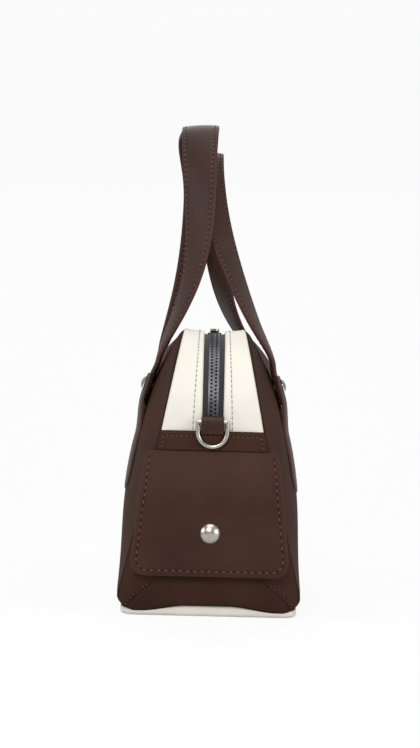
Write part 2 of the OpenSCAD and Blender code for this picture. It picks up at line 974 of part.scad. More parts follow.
arch_steps = 44;
nose_share = 0.75;
nose_thin_share = 0.4;
module strap_handle(crown, crown_y, width_power, lean_power, swing) {
    place = function (v) arch_point(v, crown, crown_y, width_power, lean_power, swing);
    step = 1 / arch_steps;
    ring = function (v, shift, thin)
        let (
            low = max(-1, v - step / 2),
            high = min(1, v + step / 2),
            along = unit(place(high) - place(low)),
            flat = unit([along[2], 0, -along[0]]),
            turn = arch_turn(v, width_power),
            wide = cos(turn) * flat - sin(turn) * [0, 1, 0],
            across = unit(wide - along * (wide * along)),
            thick = cross(along, across)
        )
        [for (q = section_shares)
            place(v) + along * shift + across * q[0] * strap_w
                + thick * q[1] * strap_t * thin];
    nose = nose_share * strap_t / 2;
    rings = concat(
        [ring(-1, -nose, nose_thin_share)],
        [for (i = [-arch_steps / 2:arch_steps / 2]) ring(2 * i * step, 0, 1)],
        [ring(1, nose, nose_thin_share)]
    );
    n = len(section_shares);
    last = len(rings) - 1;
    polyhedron(
        [for (r = rings) each r],
        concat(
            cut_quads([for (j = [0:last - 1], i = [0:n - 1])
                let (k = (i + 1) % n)
                [j * n + i, (j + 1) * n + i, (j + 1) * n + k, j * n + k]]),
            [[for (i = [0:n - 1]) i]],
            [[for (i = [n - 1:-1:0]) last * n + i]]
        )
    );
}

front_width_power = 0.55;
front_lean_power = 3;
module front_handle() {
    color(brown)
        strap_handle(front_crown, front_crown_y, front_width_power, front_lean_power, 0);
}

rear_width_power = 1.25;
rear_lean_power = 1.85;
module rear_handle() {
    color(brown)
        mirror([0, 1, 0])
            strap_handle(
                front_crown - crown_nest, -rear_crown_y,
                rear_width_power, rear_lean_power, rear_swing
            );
}

// Posts of the front rivets, from the tab inwards, square to the panel where they sit
rivet_stand = strap_t + tab_t + 2 * seam_gap;
rivet_slope = atan(
    (side_half(leg_x, rivet_z - rivet_r) - side_half(leg_x, rivet_z + rivet_r))
    / (2 * rivet_r)
);
rivet_post_r = rivet_r / 3;
dome_share = 0.42;
module rivet_places() {
    for (m = [-1, 1])
        translate([m * leg_x, -side_half(leg_x, rivet_z), rivet_z])
            rotate([90 - rivet_slope, 0, 0])
                children();
}

module rivet_posts(from, gap) {
    rivet_places()
        translate([0, 0, from])
            cylinder(r = rivet_post_r + gap, h = 2 * rivet_stand + panel_t - from);
}

// Fixed ends of a strap, under the tabs
module strap_ends() {
    color(brown)
        for (m = [-1, 1]) {
            xs = columns(m * leg_x - strap_w / 2, m * leg_x + strap_w / 2, 4);
            difference() {
                front_skin(
                    xs,
                    [for (x = xs) strap_low],
                    [for (x = xs) fold_z - strap_t / 2 - run_gap],
                    columns(0, 1, 6), function (z) seam_gap + strap_t, strap_t
                );
                rivet_posts(-panel_t, seam_gap / 4);
            }
        }
}

module front_strap_ends() {
    strap_ends();
}

module rear_strap_ends() {
    mirror([0, 1, 0])
        strap_ends();
}

// Tabs over the strap ends. Below the strap a tab comes down onto the panel.
tab_step = 4 * strap_t;
function tab_stand(z) =
    let (share = min(1, max(0, (z - strap_low + tab_step) / (tab_step - seam_gap))))
    seam_gap + tab_t
    + (strap_t + seam_gap) * (0.5 - 0.5 * cos(180 * share));
module handle_tabs() {
    r = tab_w / 2;
    color(brown)
        for (m = [-1, 1]) {
            turns = columns(-90, 90, 9);
            difference() {
                front_skin(
                    [for (a = turns) m * leg_x + r * sin(a)],
                    [for (a = turns) tab_low + r * (1 - cos(a))],
                    [for (a = turns) tab_top],
                    columns(0, 1, 13), function (z) tab_stand(z), tab_t
                );
                rivet_posts(-panel_t, seam_gap / 4);
            }
        }
}

module front_handle_tabs() {
    handle_tabs();
}

module rear_handle_tabs() {
    mirror([0, 1, 0])
        handle_tabs();
}

// Domed caps on the tabs, each with its post down to the panel
module rivet_pair() {
    dome = dome_share * rivet_r;
    ball = (rivet_r ^ 2 + dome ^ 2) / (2 * dome);
    stand = rivet_stand / cos(rivet_slope);
    rivet_places() {
        translate([0, 0, stand])
            rotate_extrude()
                intersection() {
                    translate([0, dome - ball])
                        circle(r = ball, $fn = 96);
                    square([rivet_r, dome]);
                }
        translate([0, 0, -panel_t / 3])
            cylinder(r = rivet_post_r, h = stand + panel_t / 3 + dome / 2, $fn = 24);
    }
}

module handle_rivets() {
    color(nickel) {
        rivet_pair();
        mirror([0, 1, 0])
            rivet_pair();
    }
}

front_panel();
rear_panel();
base_panel();
base_board();
lining();
slip_pocket();
front_gusset();
rear_gusset();
right_end_panel();
left_end_panel();
right_end_band();
left_end_band();
right_pocket();
left_pocket();
right_flap();
left_flap();
right_snap_cap();
left_snap_cap();
right_snap_socket();
left_snap_socket();
right_snap_stud();
left_snap_stud();
right_ring_tab();
left_ring_tab();
right_d_ring();
left_d_ring();
front_zip_tape();
rear_zip_tape();
front_zip_teeth();
rear_zip_teeth();
zip_stops();
right_slider();
left_slider();
right_pull();
left_pull();
front_handle();
rear_handle();
front_strap_ends();
rear_strap_ends();
front_handle_tabs();
rear_handle_tabs();
handle_rivets();
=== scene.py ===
# %% [markdown]
# A top handle bag, seen from its narrow end. Its leather could be modelled freely from the
# picture and fitted to the solids afterwards. Here the frame comes first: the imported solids
# give every size, so the leather is worked out from their boxes and needs no fitting.

# %% Load the frame
import json
import math

import bpy
import numpy as np
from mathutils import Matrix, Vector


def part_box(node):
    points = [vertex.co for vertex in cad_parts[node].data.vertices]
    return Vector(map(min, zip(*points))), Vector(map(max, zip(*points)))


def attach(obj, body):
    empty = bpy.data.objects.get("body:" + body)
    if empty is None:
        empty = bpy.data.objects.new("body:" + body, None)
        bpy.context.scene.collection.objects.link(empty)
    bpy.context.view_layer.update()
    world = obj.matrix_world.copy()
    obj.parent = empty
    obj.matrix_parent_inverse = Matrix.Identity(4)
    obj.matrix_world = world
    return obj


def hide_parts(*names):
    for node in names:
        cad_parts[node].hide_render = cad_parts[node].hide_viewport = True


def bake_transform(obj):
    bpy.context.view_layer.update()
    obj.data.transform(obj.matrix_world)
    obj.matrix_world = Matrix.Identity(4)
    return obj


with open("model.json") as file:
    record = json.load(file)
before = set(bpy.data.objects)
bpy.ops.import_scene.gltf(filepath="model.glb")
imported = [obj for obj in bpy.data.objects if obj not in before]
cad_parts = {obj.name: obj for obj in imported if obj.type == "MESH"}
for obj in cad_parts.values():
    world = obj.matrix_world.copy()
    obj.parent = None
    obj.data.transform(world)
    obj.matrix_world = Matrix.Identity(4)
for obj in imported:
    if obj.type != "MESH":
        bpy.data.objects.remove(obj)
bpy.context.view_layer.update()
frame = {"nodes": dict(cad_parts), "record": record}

MM = 0.001

# %% [markdown]
# The main sizes could be typed in a second time, but then a change in the solids would be
# missed. They are read from the boxes of the solids that carry them. What the boxes can't
# say, such as the belly of a panel, is a named value in millimetres.

# %% Sizes of the bag


def size_of(node, axis, end):
    """One face of a node's box: axis 0, 1 or 2 and end 0 for the low or 1 for the high one."""
    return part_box(node)[end][axis]


HALF_LEN = size_of("right_end_panel", 0, 1)
BODY_H = size_of("front_gusset", 2, 1)
SEAM_Z = size_of("front_gusset", 2, 0)
PANEL_Z = size_of("front_panel", 2, 0)
BASE_TUCK = 4 * MM
TUCK_H = 10 * MM
RIM_H = 5 * MM
BASE_HALF = BASE_TUCK - size_of("base_panel", 1, 0)
SEAM_HALF = 32 * MM
TOP_HALF = 20 * MM
CORNER_R = 54 * MM
BELLY = 16 * MM
BELLY_FADE = 70 * MM
BELLY_SHAPE = 0.8
CORNER_X = HALF_LEN - CORNER_R
CORNER_Z = BODY_H - CORNER_R
print("half length", round(HALF_LEN, 4), "height", round(BODY_H, 4))

# %% [markdown]
# Four small functions for number grids are needed again and again: points from coordinates,
# directions at length one, an even bend between two levels, and a soft hump. Each could be
# written out where it is used, but a name says at once what the numbers are for.

# %% Helpers for number grids


def at(*parts):
    """Points from their coordinates, each a grid of the same shape."""
    return np.stack(parts, axis=-1)


def unit(vectors):
    """The same directions at length one."""
    return vectors / np.maximum(np.linalg.norm(vectors, axis=-1, keepdims=True), 1e-12)


def smooth(value, low, high):
    """0 below low, 1 above high, and an even bend between."""
    share = np.clip((value - low) / (high - low), 0, 1)
    return share ** 2 * (3 - 2 * share)


def bell(value, middle, width):
    """A hump of height 1 round a middle: e to the minus square of the distance in widths."""
    return np.exp(-((value - middle) / width) ** 2)


print("half way up a bend", float(smooth(0.5, 0, 1)))

# %% [markdown]
# The bag is wide at its base, narrow at its zip and round at its upper corners. It could be a
# box that is pushed about by hand. Three functions hold the whole form instead, so every
# piece can ask where it lies: the edge narrows upwards in two straights and tucks in above
# the base, the outline is flat on top with quarter circles at its ends, and the belly pushes
# the main panels out.

# %% The form of the bag


def edge_half(z):
    """Half the depth at the seams: one straight below the gusset less a rounded tuck at the
    base, and a steeper straight above."""
    tuck = BASE_TUCK * (1 - np.clip((z - RIM_H) / TUCK_H, 0, 1)) ** 2
    low = BASE_HALF + (SEAM_HALF - BASE_HALF) * z / SEAM_Z - tuck
    high = SEAM_HALF + (TOP_HALF - SEAM_HALF) * (z - SEAM_Z) / (BODY_H - SEAM_Z)
    return np.where(z < SEAM_Z, low, high)


def outline_z(x):
    """Height of the outline over x: flat in the middle, a quarter circle at each end."""
    past = np.clip(np.abs(x) - CORNER_X, 0, CORNER_R)
    return CORNER_Z + np.sqrt(CORNER_R ** 2 - past ** 2)


def side_half(x, z):
    """Half the depth of a main panel: the edge and a belly that fades to every seam."""
    past = np.maximum(0, (np.abs(x) - HALF_LEN + BELLY_FADE) / BELLY_FADE)
    top = outline_z(x)
    down = np.clip((top - z) / (top - RIM_H), 0, 1)
    swell = np.cos(np.minimum(past, 1) * math.pi / 2) * np.sin(math.pi * down ** BELLY_SHAPE)
    return edge_half(z) + BELLY * swell


print("depth at mid height", round(2 * float(side_half(0.0, 0.09)), 4))

# %% [markdown]
# A finish is a tree of shader nodes. It could be wired link by link, which hides the maths.
# Wrapping a socket in a small class lets it be written as plain expressions.

# %% Shader expressions
GLOSSY = 0.4


class Term:
    """A number that varies over the surface. Operators on it add Math nodes."""

    def __init__(self, owner, socket):
        self.owner = owner
        self.socket = socket

    def math(self, operation, first, second):
        """One Math node with two inputs, each a number or a term."""
        return self.owner.node("Math", {"operation": operation}, {0: first, 1: second})

    def __add__(self, other):
        return self.math("ADD", self, other)

    def __radd__(self, other):
        return self.math("ADD", other, self)

    def __mul__(self, other):
        return self.math("MULTIPLY", self, other)


print("share of the white that glossy rays see", GLOSSY)

# %% [markdown]
# The other nodes need settings and sockets. A line for each of them would be long, so one
# method adds any kind of node, and a material adds short names for what a finish feeds.

# %% Nodes and finishes


class Nodes:
    """A node tree with short ways to add nodes and feed their sockets."""

    def __init__(self, tree):
        self.tree = tree

    def plug(self, socket, value):
        """Links a term to a socket, or sets the socket to a plain value."""
        if isinstance(value, Term):
            self.tree.links.new(value.socket, socket)
        else:
            socket.default_value = value

    def node(self, kind, settings, sockets, out=0):
        """Adds a node: its settings first, then its sockets, and returns one output."""
        made = self.tree.nodes.new("ShaderNode" + kind)
        for key, value in settings.items():
            setattr(made, key, value)
        for key, value in sockets.items():
            self.plug(made.inputs[key], value)
        return Term(self, made.outputs[out])

    def seen(self):
        """1 for rays from the camera or through clear things, GLOSSY for mirrored ones."""
        camera_ray = self.node("LightPath", {}, {}, "Is Camera Ray")
        glossy_ray = self.node("LightPath", {}, {}, "Is Glossy Ray")
        through_ray = self.node("LightPath", {}, {}, "Is Transmission Ray")
        return camera_ray + glossy_ray * GLOSSY + through_ray


class Finish(Nodes):
    """A material with one Principled shader and short ways to feed it."""

    def __init__(self, name, **constants):
        self.material = bpy.data.materials.new(name)
        self.material.use_nodes = True
        super().__init__(self.material.node_tree)
        self.shader = self.tree.nodes["Principled BSDF"]
        for key, value in constants.items():
            self.shader.inputs[key.replace("_", " ")].default_value = value

    def place(self):
        """The object's own coordinates, in metres."""
        return self.node("TexCoord", {}, {}, "Object")

    def noise(self, scale, detail=2.0, stretch=None):
        """Soft noise with features of about 1 / scale metres."""
        at = self.place()
        if stretch:
            at = self.node("Mapping", {}, {"Vector": at, "Scale": stretch})
        sockets = {"Vector": at, "Scale": scale, "Detail": detail}
        return self.node("TexNoise", {}, sockets)

    def cells(self, scale):
        """Distance to the nearest of many scattered points, as in pebbled grain."""
        return self.node("TexVoronoi", {}, {"Vector": self.place(), "Scale": scale})

    def ramp(self, term, low, high):
        """0 below low, 1 above high, smooth between."""
        sockets = {"Value": term, "From Min": low, "From Max": high}
        return self.node("MapRange", {"interpolation_type": "SMOOTHSTEP"}, sockets)

    def mix(self, share, first, second):
        """A colour between two others."""
        sockets = {0: share, 6: first, 7: second}
        return self.node("Mix", {"data_type": "RGBA"}, sockets, 2)

    def attribute(self, name):
        """A value stored on the points of a mesh."""
        return self.node("Attribute", {"attribute_name": name}, {}, "Fac")

    def colour(self, value):
        """Feeds the base colour."""
        self.plug(self.shader.inputs["Base Color"], value)

    def rough(self, value):
        """Feeds the roughness."""
        self.plug(self.shader.inputs["Roughness"], value)

    def bump(self, height, distance, strength=1.0):
        """Feeds the normal from a height in 0 to 1 and its depth in metres."""
        sockets = {"Height": height, "Distance": distance, "Strength": strength}
        normal = self.node("Bump", {}, sockets)
        self.plug(self.shader.inputs["Normal"], normal)


def rgb(red, green, blue):
    """A colour as it looks on screen, 0 to 255, turned into the linear one that light uses."""
    share = np.array([red, green, blue]) / 255
    linear = np.where(share < 0.04045, share / 12.92, ((share + 0.055) / 1.055) ** 2.4)
    return (*[float(v) for v in linear], 1.0)


print("shader helpers ready")

# %% [markdown]
# The leather is smooth calf with a fine pebble. It could be one flat brown, but then it would
# look like plastic. So it has a slow mottling of the dye, a shallow crackle of pores for the
# bump and a roughness that wanders a little. Each mesh also carries a value called seam: 1 at
# a cut or turned edge, which takes the edge's colour, and below 0 along a row of stitches,
# where the leather is pulled into a groove that gets painted shade. The edge colour is the
# real reddish edge paint on straps, tabs and flaps, and painted shade in the seams on the
# brown and pale panels. It is stored on the mesh, because only the mesh knows where its
# seams are.

# %% Leather finishes


def leather(name, dark, light, edge, gloss, shine, depth):
    """Dyed calf: mottled colour, edge colour and painted shade at its edges and seams, pores in the
    bump.
    """
    skin = Finish(name, Specular_IOR_Level=shine)
    mottle = skin.ramp(skin.noise(28.0, 4.0), 0.3, 0.72)
    tone = skin.mix(mottle, dark, light)
    marks = skin.attribute("seam")
    # Painted shade for the groove along each row of stitches: a darker copy of the leather.
    groove = (*[0.4 * part for part in dark[:3]], 1.0)
    sewn = skin.mix(skin.ramp(marks * -1.0, 0.0, 1.0), tone, groove)
    # The edge colour: real edge paint on straps, tabs and flaps, painted shade in the seams of the
    # brown and pale panels.
    skin.colour(skin.mix(skin.ramp(marks, 0.0, 1.3), sewn, edge))
    pores = skin.ramp(skin.cells(1150.0), 0.0, 0.75)
    fine = skin.noise(2600.0, 2.0)
    creases = skin.noise(160.0, 3.0)
    skin.bump(pores * 0.55 + fine * 0.2 + creases * 0.5, depth, 0.7)
    skin.rough(gloss + mottle * 0.08 + pores * 0.06)
    return skin.material


# Its edge colour, far darker than the leather, is painted shade in the seams of panels, ends and
# pockets.
BROWN = leather("brown_leather", rgb(54, 34, 26), rgb(66, 43, 34), rgb(32, 20, 15),
                0.66, 0.08, 0.00012)
FLAP = leather("flap_leather", rgb(56, 35, 27), rgb(66, 43, 34), rgb(76, 46, 37),
               0.55, 0.12, 0.00012)
STRAP = leather("strap_leather", rgb(50, 31, 24), rgb(62, 39, 31), rgb(70, 40, 32),
                0.42, 0.2, 0.0001)
# Its darker edge colour is painted shade along the gusset's seams and up the base's rim.
IVORY = leather("ivory_leather", rgb(224, 220, 209), rgb(232, 228, 218), rgb(196, 188, 172),
                0.48, 0.35, 0.00008)
print("leather finishes", len(bpy.data.materials))

# %% [markdown]
# Thread is twisted polyester, and the cloth inside is a plain weave. Both could be modelled
# strand by strand, at a great cost in faces. At this size stripes from a Wave texture are
# enough for the twist and the weave.

# %% Thread and cloth


def thread(name, low, high):
    """Twisted thread: fine diagonal stripes, and painted shade where a stitch dips into its hole.
    """
    yarn = Finish(name, Specular_IOR_Level=0.1)
    twist = yarn.node("TexWave", {"bands_direction": "DIAGONAL"},
                      {"Vector": yarn.place(), "Scale": 900.0, "Distortion": 1.5}, "Fac")
    tone = yarn.mix(twist, low, high)
    # Painted shade at the ends of each stitch, where it dips into its hole.
    hole_shade = (*[0.12 * part for part in low[:3]], 1.0)
    yarn.colour(yarn.mix(yarn.attribute("seam"), tone, hole_shade))
    yarn.rough(0.62 + twist * 0.1)
    yarn.bump(twist, 0.00008, 0.6)
    return yarn.material


def woven(name, low, high, pitch, gloss=0.8):
    """Plain cloth: warp and weft stripes of one pitch, laid over each other."""
    cloth = Finish(name, Sheen_Weight=0.15)
    sockets = {"Vector": cloth.place(), "Scale": 0.314 / pitch}
    warp = cloth.node("TexWave", {"bands_direction": "X"}, sockets, "Fac")
    weft = cloth.node("TexWave", {"bands_direction": "Z"}, sockets, "Fac")
    weave = warp * 0.5 + weft * 0.5
    patchy = cloth.noise(90.0, 3.0)
    cloth.colour(cloth.mix(weave * 0.7 + patchy * 0.3, low, high))
    cloth.rough(gloss + patchy * 0.1)
    cloth.bump(weave, 0.00012, 0.6)
    return cloth.material


THREAD = thread("brown_thread", rgb(92, 62, 53), rgb(140, 101, 90))
STRAP_THREAD = thread("strap_thread", rgb(100, 66, 56), rgb(156, 114, 100))
PALE_THREAD = thread("ivory_thread", rgb(176, 168, 152), rgb(222, 216, 202))
LINING = woven("lining", rgb(120, 104, 88), rgb(150, 132, 112), 0.0006)
BOARD = woven("board", rgb(92, 82, 70), rgb(118, 106, 92), 0.0012)
TAPE = woven("zip_tape", rgb(16, 16, 17), rgb(34, 34, 36), 0.0005, 0.7)
print("finishes so far", len(bpy.data.materials))

# %% [markdown]
# The metal is cast and plated. A mirror would be too clean for it, so nickel is bright with a
# haze of fine rubbing marks, and the zip teeth are a dark, duller plating that keeps a bright
# spot on each crown.

# %% Metal finishes


def plated(name, low, high, gloss, marks):
    """Plated metal: a near even colour, with faint rubbing marks in gloss and bump."""
    metal = Finish(name, Metallic=1.0)
    haze = metal.noise(300.0, 4.0)
    rub = metal.noise(1800.0, 2.0, (1.0, 0.15, 1.0))
    metal.colour(metal.mix(haze, low, high))
    metal.rough(gloss + haze * 0.08 + rub * marks)
    metal.bump(rub, 0.00002, 0.4)
    return metal.material


NICKEL = plated("nickel", rgb(164, 159, 150), rgb(194, 189, 180), 0.2, 0.08)
TEETH = plated("zip_teeth", rgb(70, 70, 72), rgb(108, 108, 112), 0.3, 0.1)
print("metal finishes ready")

# %% [markdown]
# Every new piece is leather, thread or cloth: a thin sheet with two sides. It could be a
# single face with a Solidify modifier, which can't shape the two sides apart. So it is a
# closed skin between two grids of points. Each grid is one numpy array and the faces are
# index arithmetic.

# %% From grids to meshes


def grid_quads(rows, cols, first=0):
    """Quads of a grid whose point (i, j) has the number first + i * cols + j."""
    at = first + np.arange(rows - 1)[:, None] * cols + np.arange(cols - 1)[None, :]
    return np.stack([at, at + cols, at + cols + 1, at + 1], axis=-1).reshape(-1, 4)


def border(rows, cols):
    """The numbers of a grid's border points, once round."""
    top = np.arange(cols - 1)
    right = np.arange(rows - 1) * cols + cols - 1
    low = (rows - 1) * cols + np.arange(cols - 1, 0, -1)
    left = np.arange(rows - 1, 0, -1) * cols
    return np.concatenate([top, right, low, left])


def sandwich(outer, inner):
    """Points and quads of the closed solid between two grids of the same size."""
    rows, cols = outer.shape[:2]
    count = rows * cols
    face = grid_quads(rows, cols)
    back = grid_quads(rows, cols, count)[:, ::-1]
    rim = border(rows, cols)
    after = np.roll(rim, -1)
    side = np.stack([rim, after, after + count, rim + count], axis=-1)
    points = np.concatenate([outer.reshape(-1, 3), inner.reshape(-1, 3)])
    return points, np.concatenate([face, back, side])


def volume(points, quads):
    """Signed volume: the sum of the tetrahedra from the origin to each triangle."""
    a, b, c, d = (points[quads[:, k]] for k in range(4))
    one = np.einsum("ij,ij->i", a, np.cross(b, c))
    two = np.einsum("ij,ij->i", a, np.cross(c, d))
    return float((one + two).sum()) / 6


print("faces of a 3 by 3 grid", len(grid_quads(3, 3)))

# %% [markdown]
# The arrays could be made into a mesh through lists, which is slow for many points. They are
# handed over whole instead. The sign of the enclosed volume tells whether the faces point
# outwards, so no piece can end up inside out.

# %% From arrays to objects


def new_object(name, points, quads, finish):
    """A smooth mesh object at the origin, from arrays of points and quads."""
    mesh = bpy.data.meshes.new(name)
    mesh.vertices.add(len(points))
    mesh.vertices.foreach_set("co", np.asarray(points, dtype=np.float32).ravel())
    mesh.loops.add(quads.size)
    mesh.loops.foreach_set("vertex_index", np.asarray(quads, dtype=np.int32).ravel())
    mesh.polygons.add(len(quads))
    mesh.polygons.foreach_set("loop_start", np.arange(len(quads), dtype=np.int32) * 4)
    mesh.polygons.foreach_set("use_smooth", np.full(len(quads), True))
    mesh.update(calc_edges=True)
    mesh.validate()
    mesh.materials.append(finish)
    made = bpy.data.objects.new(name, mesh)
    bpy.context.collection.objects.link(made)
    return made


def make_piece(name, points, quads, finish, body=None, values=None):
    """A piece of the bag, turned the right way out and the body it rides."""
    if volume(points, quads) < 0:
        quads = quads[:, ::-1]
    made = new_object(name, points, quads, finish)
    seam = made.data.attributes.new("seam", "FLOAT", "POINT")
    seam.data.foreach_set("value", np.zeros(len(points)) if values is None else values)
    if body:
        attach(made, body)
    return made


def plate(name, outer, inner, finish, body="bag", tone=None):
    """A piece between two grids, with one seam value for both sides of each point."""
    points, quads = sandwich(outer, inner)
    values = None if tone is None else np.tile(tone.ravel(), 2)
    return make_piece(name, points, quads, finish, body, values)


def normals_of(grid):
    """Unit normals of a grid of points, from its differences along both directions."""
    return unit(np.cross(np.gradient(grid, axis=0), np.gradient(grid, axis=1)))


def turned_edge(distance, radius, drop):
    """How far a surface dips by its border: a quarter round of a given radius and drop."""
    share = np.clip(1 - distance / radius, 0, 1)
    return drop * (1 - np.sqrt(np.maximum(1 - share ** 2, 0)))


print("mesh helpers ready")

# %% [markdown]
# A stitch is a short grain of thread, thickest in its middle, that dives into the leather at
# both ends. It could be drawn in the bump only, but the coarse stitches of this bag catch the
# light. So one grain has a few dozen faces, and numpy copies it along every seam at once.

# %% Stitches
SIDES = 6
RINGS = 5
STITCH_END = np.array([[0, 1, 2, 3], [0, 3, 4, 5]])


def grain():
    """One stitch along X on a grid: a tube whose radius and height follow a half sine."""
    turns = np.linspace(0, 2 * math.pi, SIDES, endpoint=False)
    along, turn = np.meshgrid(np.linspace(0, 1, RINGS), turns, indexing="ij")
    swell = np.sin(math.pi * np.clip(along, 0.06, 0.94))
    rise = np.sin(math.pi * along) * 0.6 - 0.25
    radius = 0.35 + 0.65 * swell
    return at(along - 0.5, radius * np.cos(turn), radius * np.sin(turn) + rise)


def tube_faces(rings, sides, end):
    """Side quads of a tube, with both ends closed by the quads given for its first ring."""
    ring = np.arange(rings - 1)[:, None] * sides
    here = ring + np.arange(sides)[None, :]
    there = ring + (np.arange(sides)[None, :] + 1) % sides
    tube = at(here, here + sides, there + sides, there).reshape(-1, 4)
    far = (rings - 1) * sides + end[:, ::-1]
    return np.concatenate([tube, end, far])


print("faces of one stitch", len(tube_faces(RINGS, SIDES, STITCH_END)))

# %% [markdown]
# A row could be laid by an Array modifier on a curve, which stretches its grains. Here the
# length of the path is summed, and the grains stand at even distances, turned to the path.

# %% Rows of stitches


def reach_of(path):
    """The length walked along a path up to each of its points."""
    step = np.linalg.norm(np.diff(path, axis=0), axis=1)
    return np.concatenate([[0], np.cumsum(step)])


def pick(marks, reach, columns):
    """The columns of an array at given lengths along its path."""
    return at(*[np.interp(marks, reach, column) for column in columns.T])


def stitch_row(path, normal, pitch=3.3 * MM, length=2.3 * MM, radius=0.36 * MM):
    """All the stitches along a path: grains at an even pitch, turned to it and its normals."""
    reach = reach_of(path)
    count = max(2, int(round(reach[-1] / pitch)))
    marks = (np.arange(count) + 0.5) * reach[-1] / count
    centre = pick(marks, reach, path)
    along = unit(pick(marks + pitch / 4, reach, path) - pick(marks - pitch / 4, reach, path))
    up = pick(marks, reach, normal)
    up = unit(up - along * (up * along).sum(axis=1, keepdims=True))
    side = np.cross(up, along)
    shape = grain()
    points = (centre[:, None, None] + shape[None, ..., :1] * length * along[:, None, None]
              + shape[None, ..., 1:2] * radius * side[:, None, None]
              + shape[None, ..., 2:] * radius * up[:, None, None])
    firsts = np.arange(count)[:, None, None] * SIDES * RINGS
    faces = tube_faces(RINGS, SIDES, STITCH_END)[None] + firsts
    return points.reshape(-1, 3), faces.reshape(-1, 4)


def join_parts(parts):
    """Several point and face arrays as one, with the face numbers moved along."""
    points, quads, first = [], [], 0
    for part_points, part_quads in parts:
        points.append(part_points)
        quads.append(part_quads + first)
        first += len(part_points)
    return np.concatenate(points), np.concatenate(quads)


def dips(points):
    """The seam value of stitches: 1 at both ends of each, where it dips into a hole: painted shade.
    """
    one = np.repeat([1.0, 0.7, 0.0, 0.7, 1.0], SIDES)
    return np.tile(one, len(points) // len(one))


def sew(name, rows, body, finish=THREAD, side=1):
    """One piece that holds all the stitches of some seams, or of their mirror in X."""
    points, quads = join_parts(rows)
    points = points * np.array([side, 1, 1])
    return make_piece(name, points, quads, finish, body, dips(points))


print("points of one stitch", SIDES * RINGS)

# %% [markdown]
# The two main panels are padded leather, sewn to the gusset, the ends and the base. They
# could be sculpted, or filled by a cloth simulation. But the form is known already, so x and
# z run freely and y follows from it. Along a seam padded leather dives in a small quarter
# round: the distance to the nearest seam drives both that dip and the painted shade in it
# beside the stitches.

# %% Main panels


def seam_distance(x, z):
    """Distance inside the bag's outline: that of a box with two rounded upper corners."""
    past_x = np.maximum(np.abs(x) - CORNER_X, 0)
    past_z = np.maximum(z - CORNER_Z, 0)
    return CORNER_R - np.hypot(past_x, past_z)


def spread(count, crowd=0.55):
    """Shares from 0 to 1 that lie closer together near both ends."""
    even = np.linspace(0, 1, count)
    return (1 - crowd) * even + crowd * (0.5 - 0.5 * np.cos(math.pi * even))


def fade_near(distance, reach):
    """1 at a seam and almost 0 beyond its reach."""
    return np.exp(-np.maximum(distance, 0) / reach)


SHOULDER_REACH = 54 * MM
SHOULDER_DOWN = 75 * MM
SHOULDER = 5.5 * MM
FLARE = 1.8 * MM
FLARE_UP = 70 * MM
CALM_REACH = 30 * MM
WAVE = 0.7 * MM
SEWN_IN = 0.2 * MM


def shoulder(x, z):
    """The extra fullness of a panel between its two tabs, just under the zip's gusset."""
    middle = np.cos(math.pi / 2 * np.clip(x / SHOULDER_REACH, -1, 1)) ** 2
    down = np.clip((BODY_H - z) / SHOULDER_DOWN, 0, 1)
    return SHOULDER * middle * np.sin(math.pi * down ** 0.6) ** 2


def flare(z):
    """How much wider the foot of a panel is, dying out upwards and at the base."""
    return FLARE * (1 - np.clip(z / FLARE_UP, 0, 1)) ** 2 * smooth(z, RIM_H, RIM_H + 6 * MM)


def panel_outside(x, z):
    """The panel's outer face: the form, its full shoulder, soft waves from the padding, and
    dips at the seams."""
    seam = np.minimum(seam_distance(x, z), (z - PANEL_Z) * 0.8 + 0.4 * MM)
    calm = np.clip(seam / CALM_REACH, 0, 1)
    waves = np.sin(x * 61 + z * 38) * np.sin(z * 52 - x * 23 + 1.3) * WAVE * calm
    dip = turned_edge(seam, 3.2 * MM, 1.7 * MM)
    return side_half(x, z) + shoulder(x, z) + flare(z) + waves - dip, seam


def main_panel(name, side):
    """A padded panel: the outer grid over x and z, and an inner one set back behind it."""
    across, up = np.meshgrid(spread(201, 0.4), spread(151, 0.35), indexing="ij")
    x = (2 * across - 1) * (HALF_LEN - SEWN_IN)
    z = PANEL_Z + (outline_z(x) - SEWN_IN - PANEL_Z) * up
    half, seam = panel_outside(x, z)
    thick = 1.3 * MM + 1.5 * MM * np.clip(seam / (8 * MM), 0, 1)
    outer, inner = at(x, side * half, z), at(x, side * (half - thick), z)
    # The seam value darkens the leather near every seam: painted shade in the dip.
    return plate(name, outer, inner, BROWN, "bag", fade_near(seam, 2.4 * MM))


front = main_panel("front_leather", -1)
rear = main_panel("rear_leather", 1)
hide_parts("front_panel")
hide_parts("rear_panel")
print("points of a main panel", len(front.data.vertices))

# %% [markdown]
# The gusset and the zip follow the bag's outline seen from the front. A curve object could
# carry them, but its points aren't evenly far apart. The way is a straight, a quarter circle,
# the flat top, and the same again, so its points come from one formula at an even pace.

# %% The way along the outline


def outline_path(low_z, count):
    """Points (x, z) along the outline from the left end to the right, at an even pace."""
    bend = CORNER_R * math.pi / 2
    half = CORNER_Z - low_z + bend + CORNER_X
    way = np.linspace(-half, half, count)
    mark = np.abs(way)
    turn = np.clip((mark - CORNER_X) / CORNER_R, 0, math.pi / 2)
    x = np.minimum(mark, CORNER_X) + CORNER_R * np.sin(turn)
    z = CORNER_Z + CORNER_R * np.cos(turn) - np.maximum(mark - CORNER_X - bend, 0)
    return x * np.sign(way), z


print("length of the zip opening", round(float(2 * (CORNER_X + CORNER_R * math.pi / 2)), 3))

# %% [markdown]
# The gusset is one strip of pale leather on each side of the zip. It could be cut from a bent
# box. As a grid, it has the way along the outline as one direction and the way from the zip
# to the panel as the other, so its stitches are simply a column of the grid. Towards the
# panel it rises in a soft lip.

# %% Zip gusset
ZIP_HALF = -size_of("front_gusset", 1, 1)
GUSSET_T = 1.8 * MM
GUSSET_STEPS = 261
EDGE_SET = 0.8 * MM


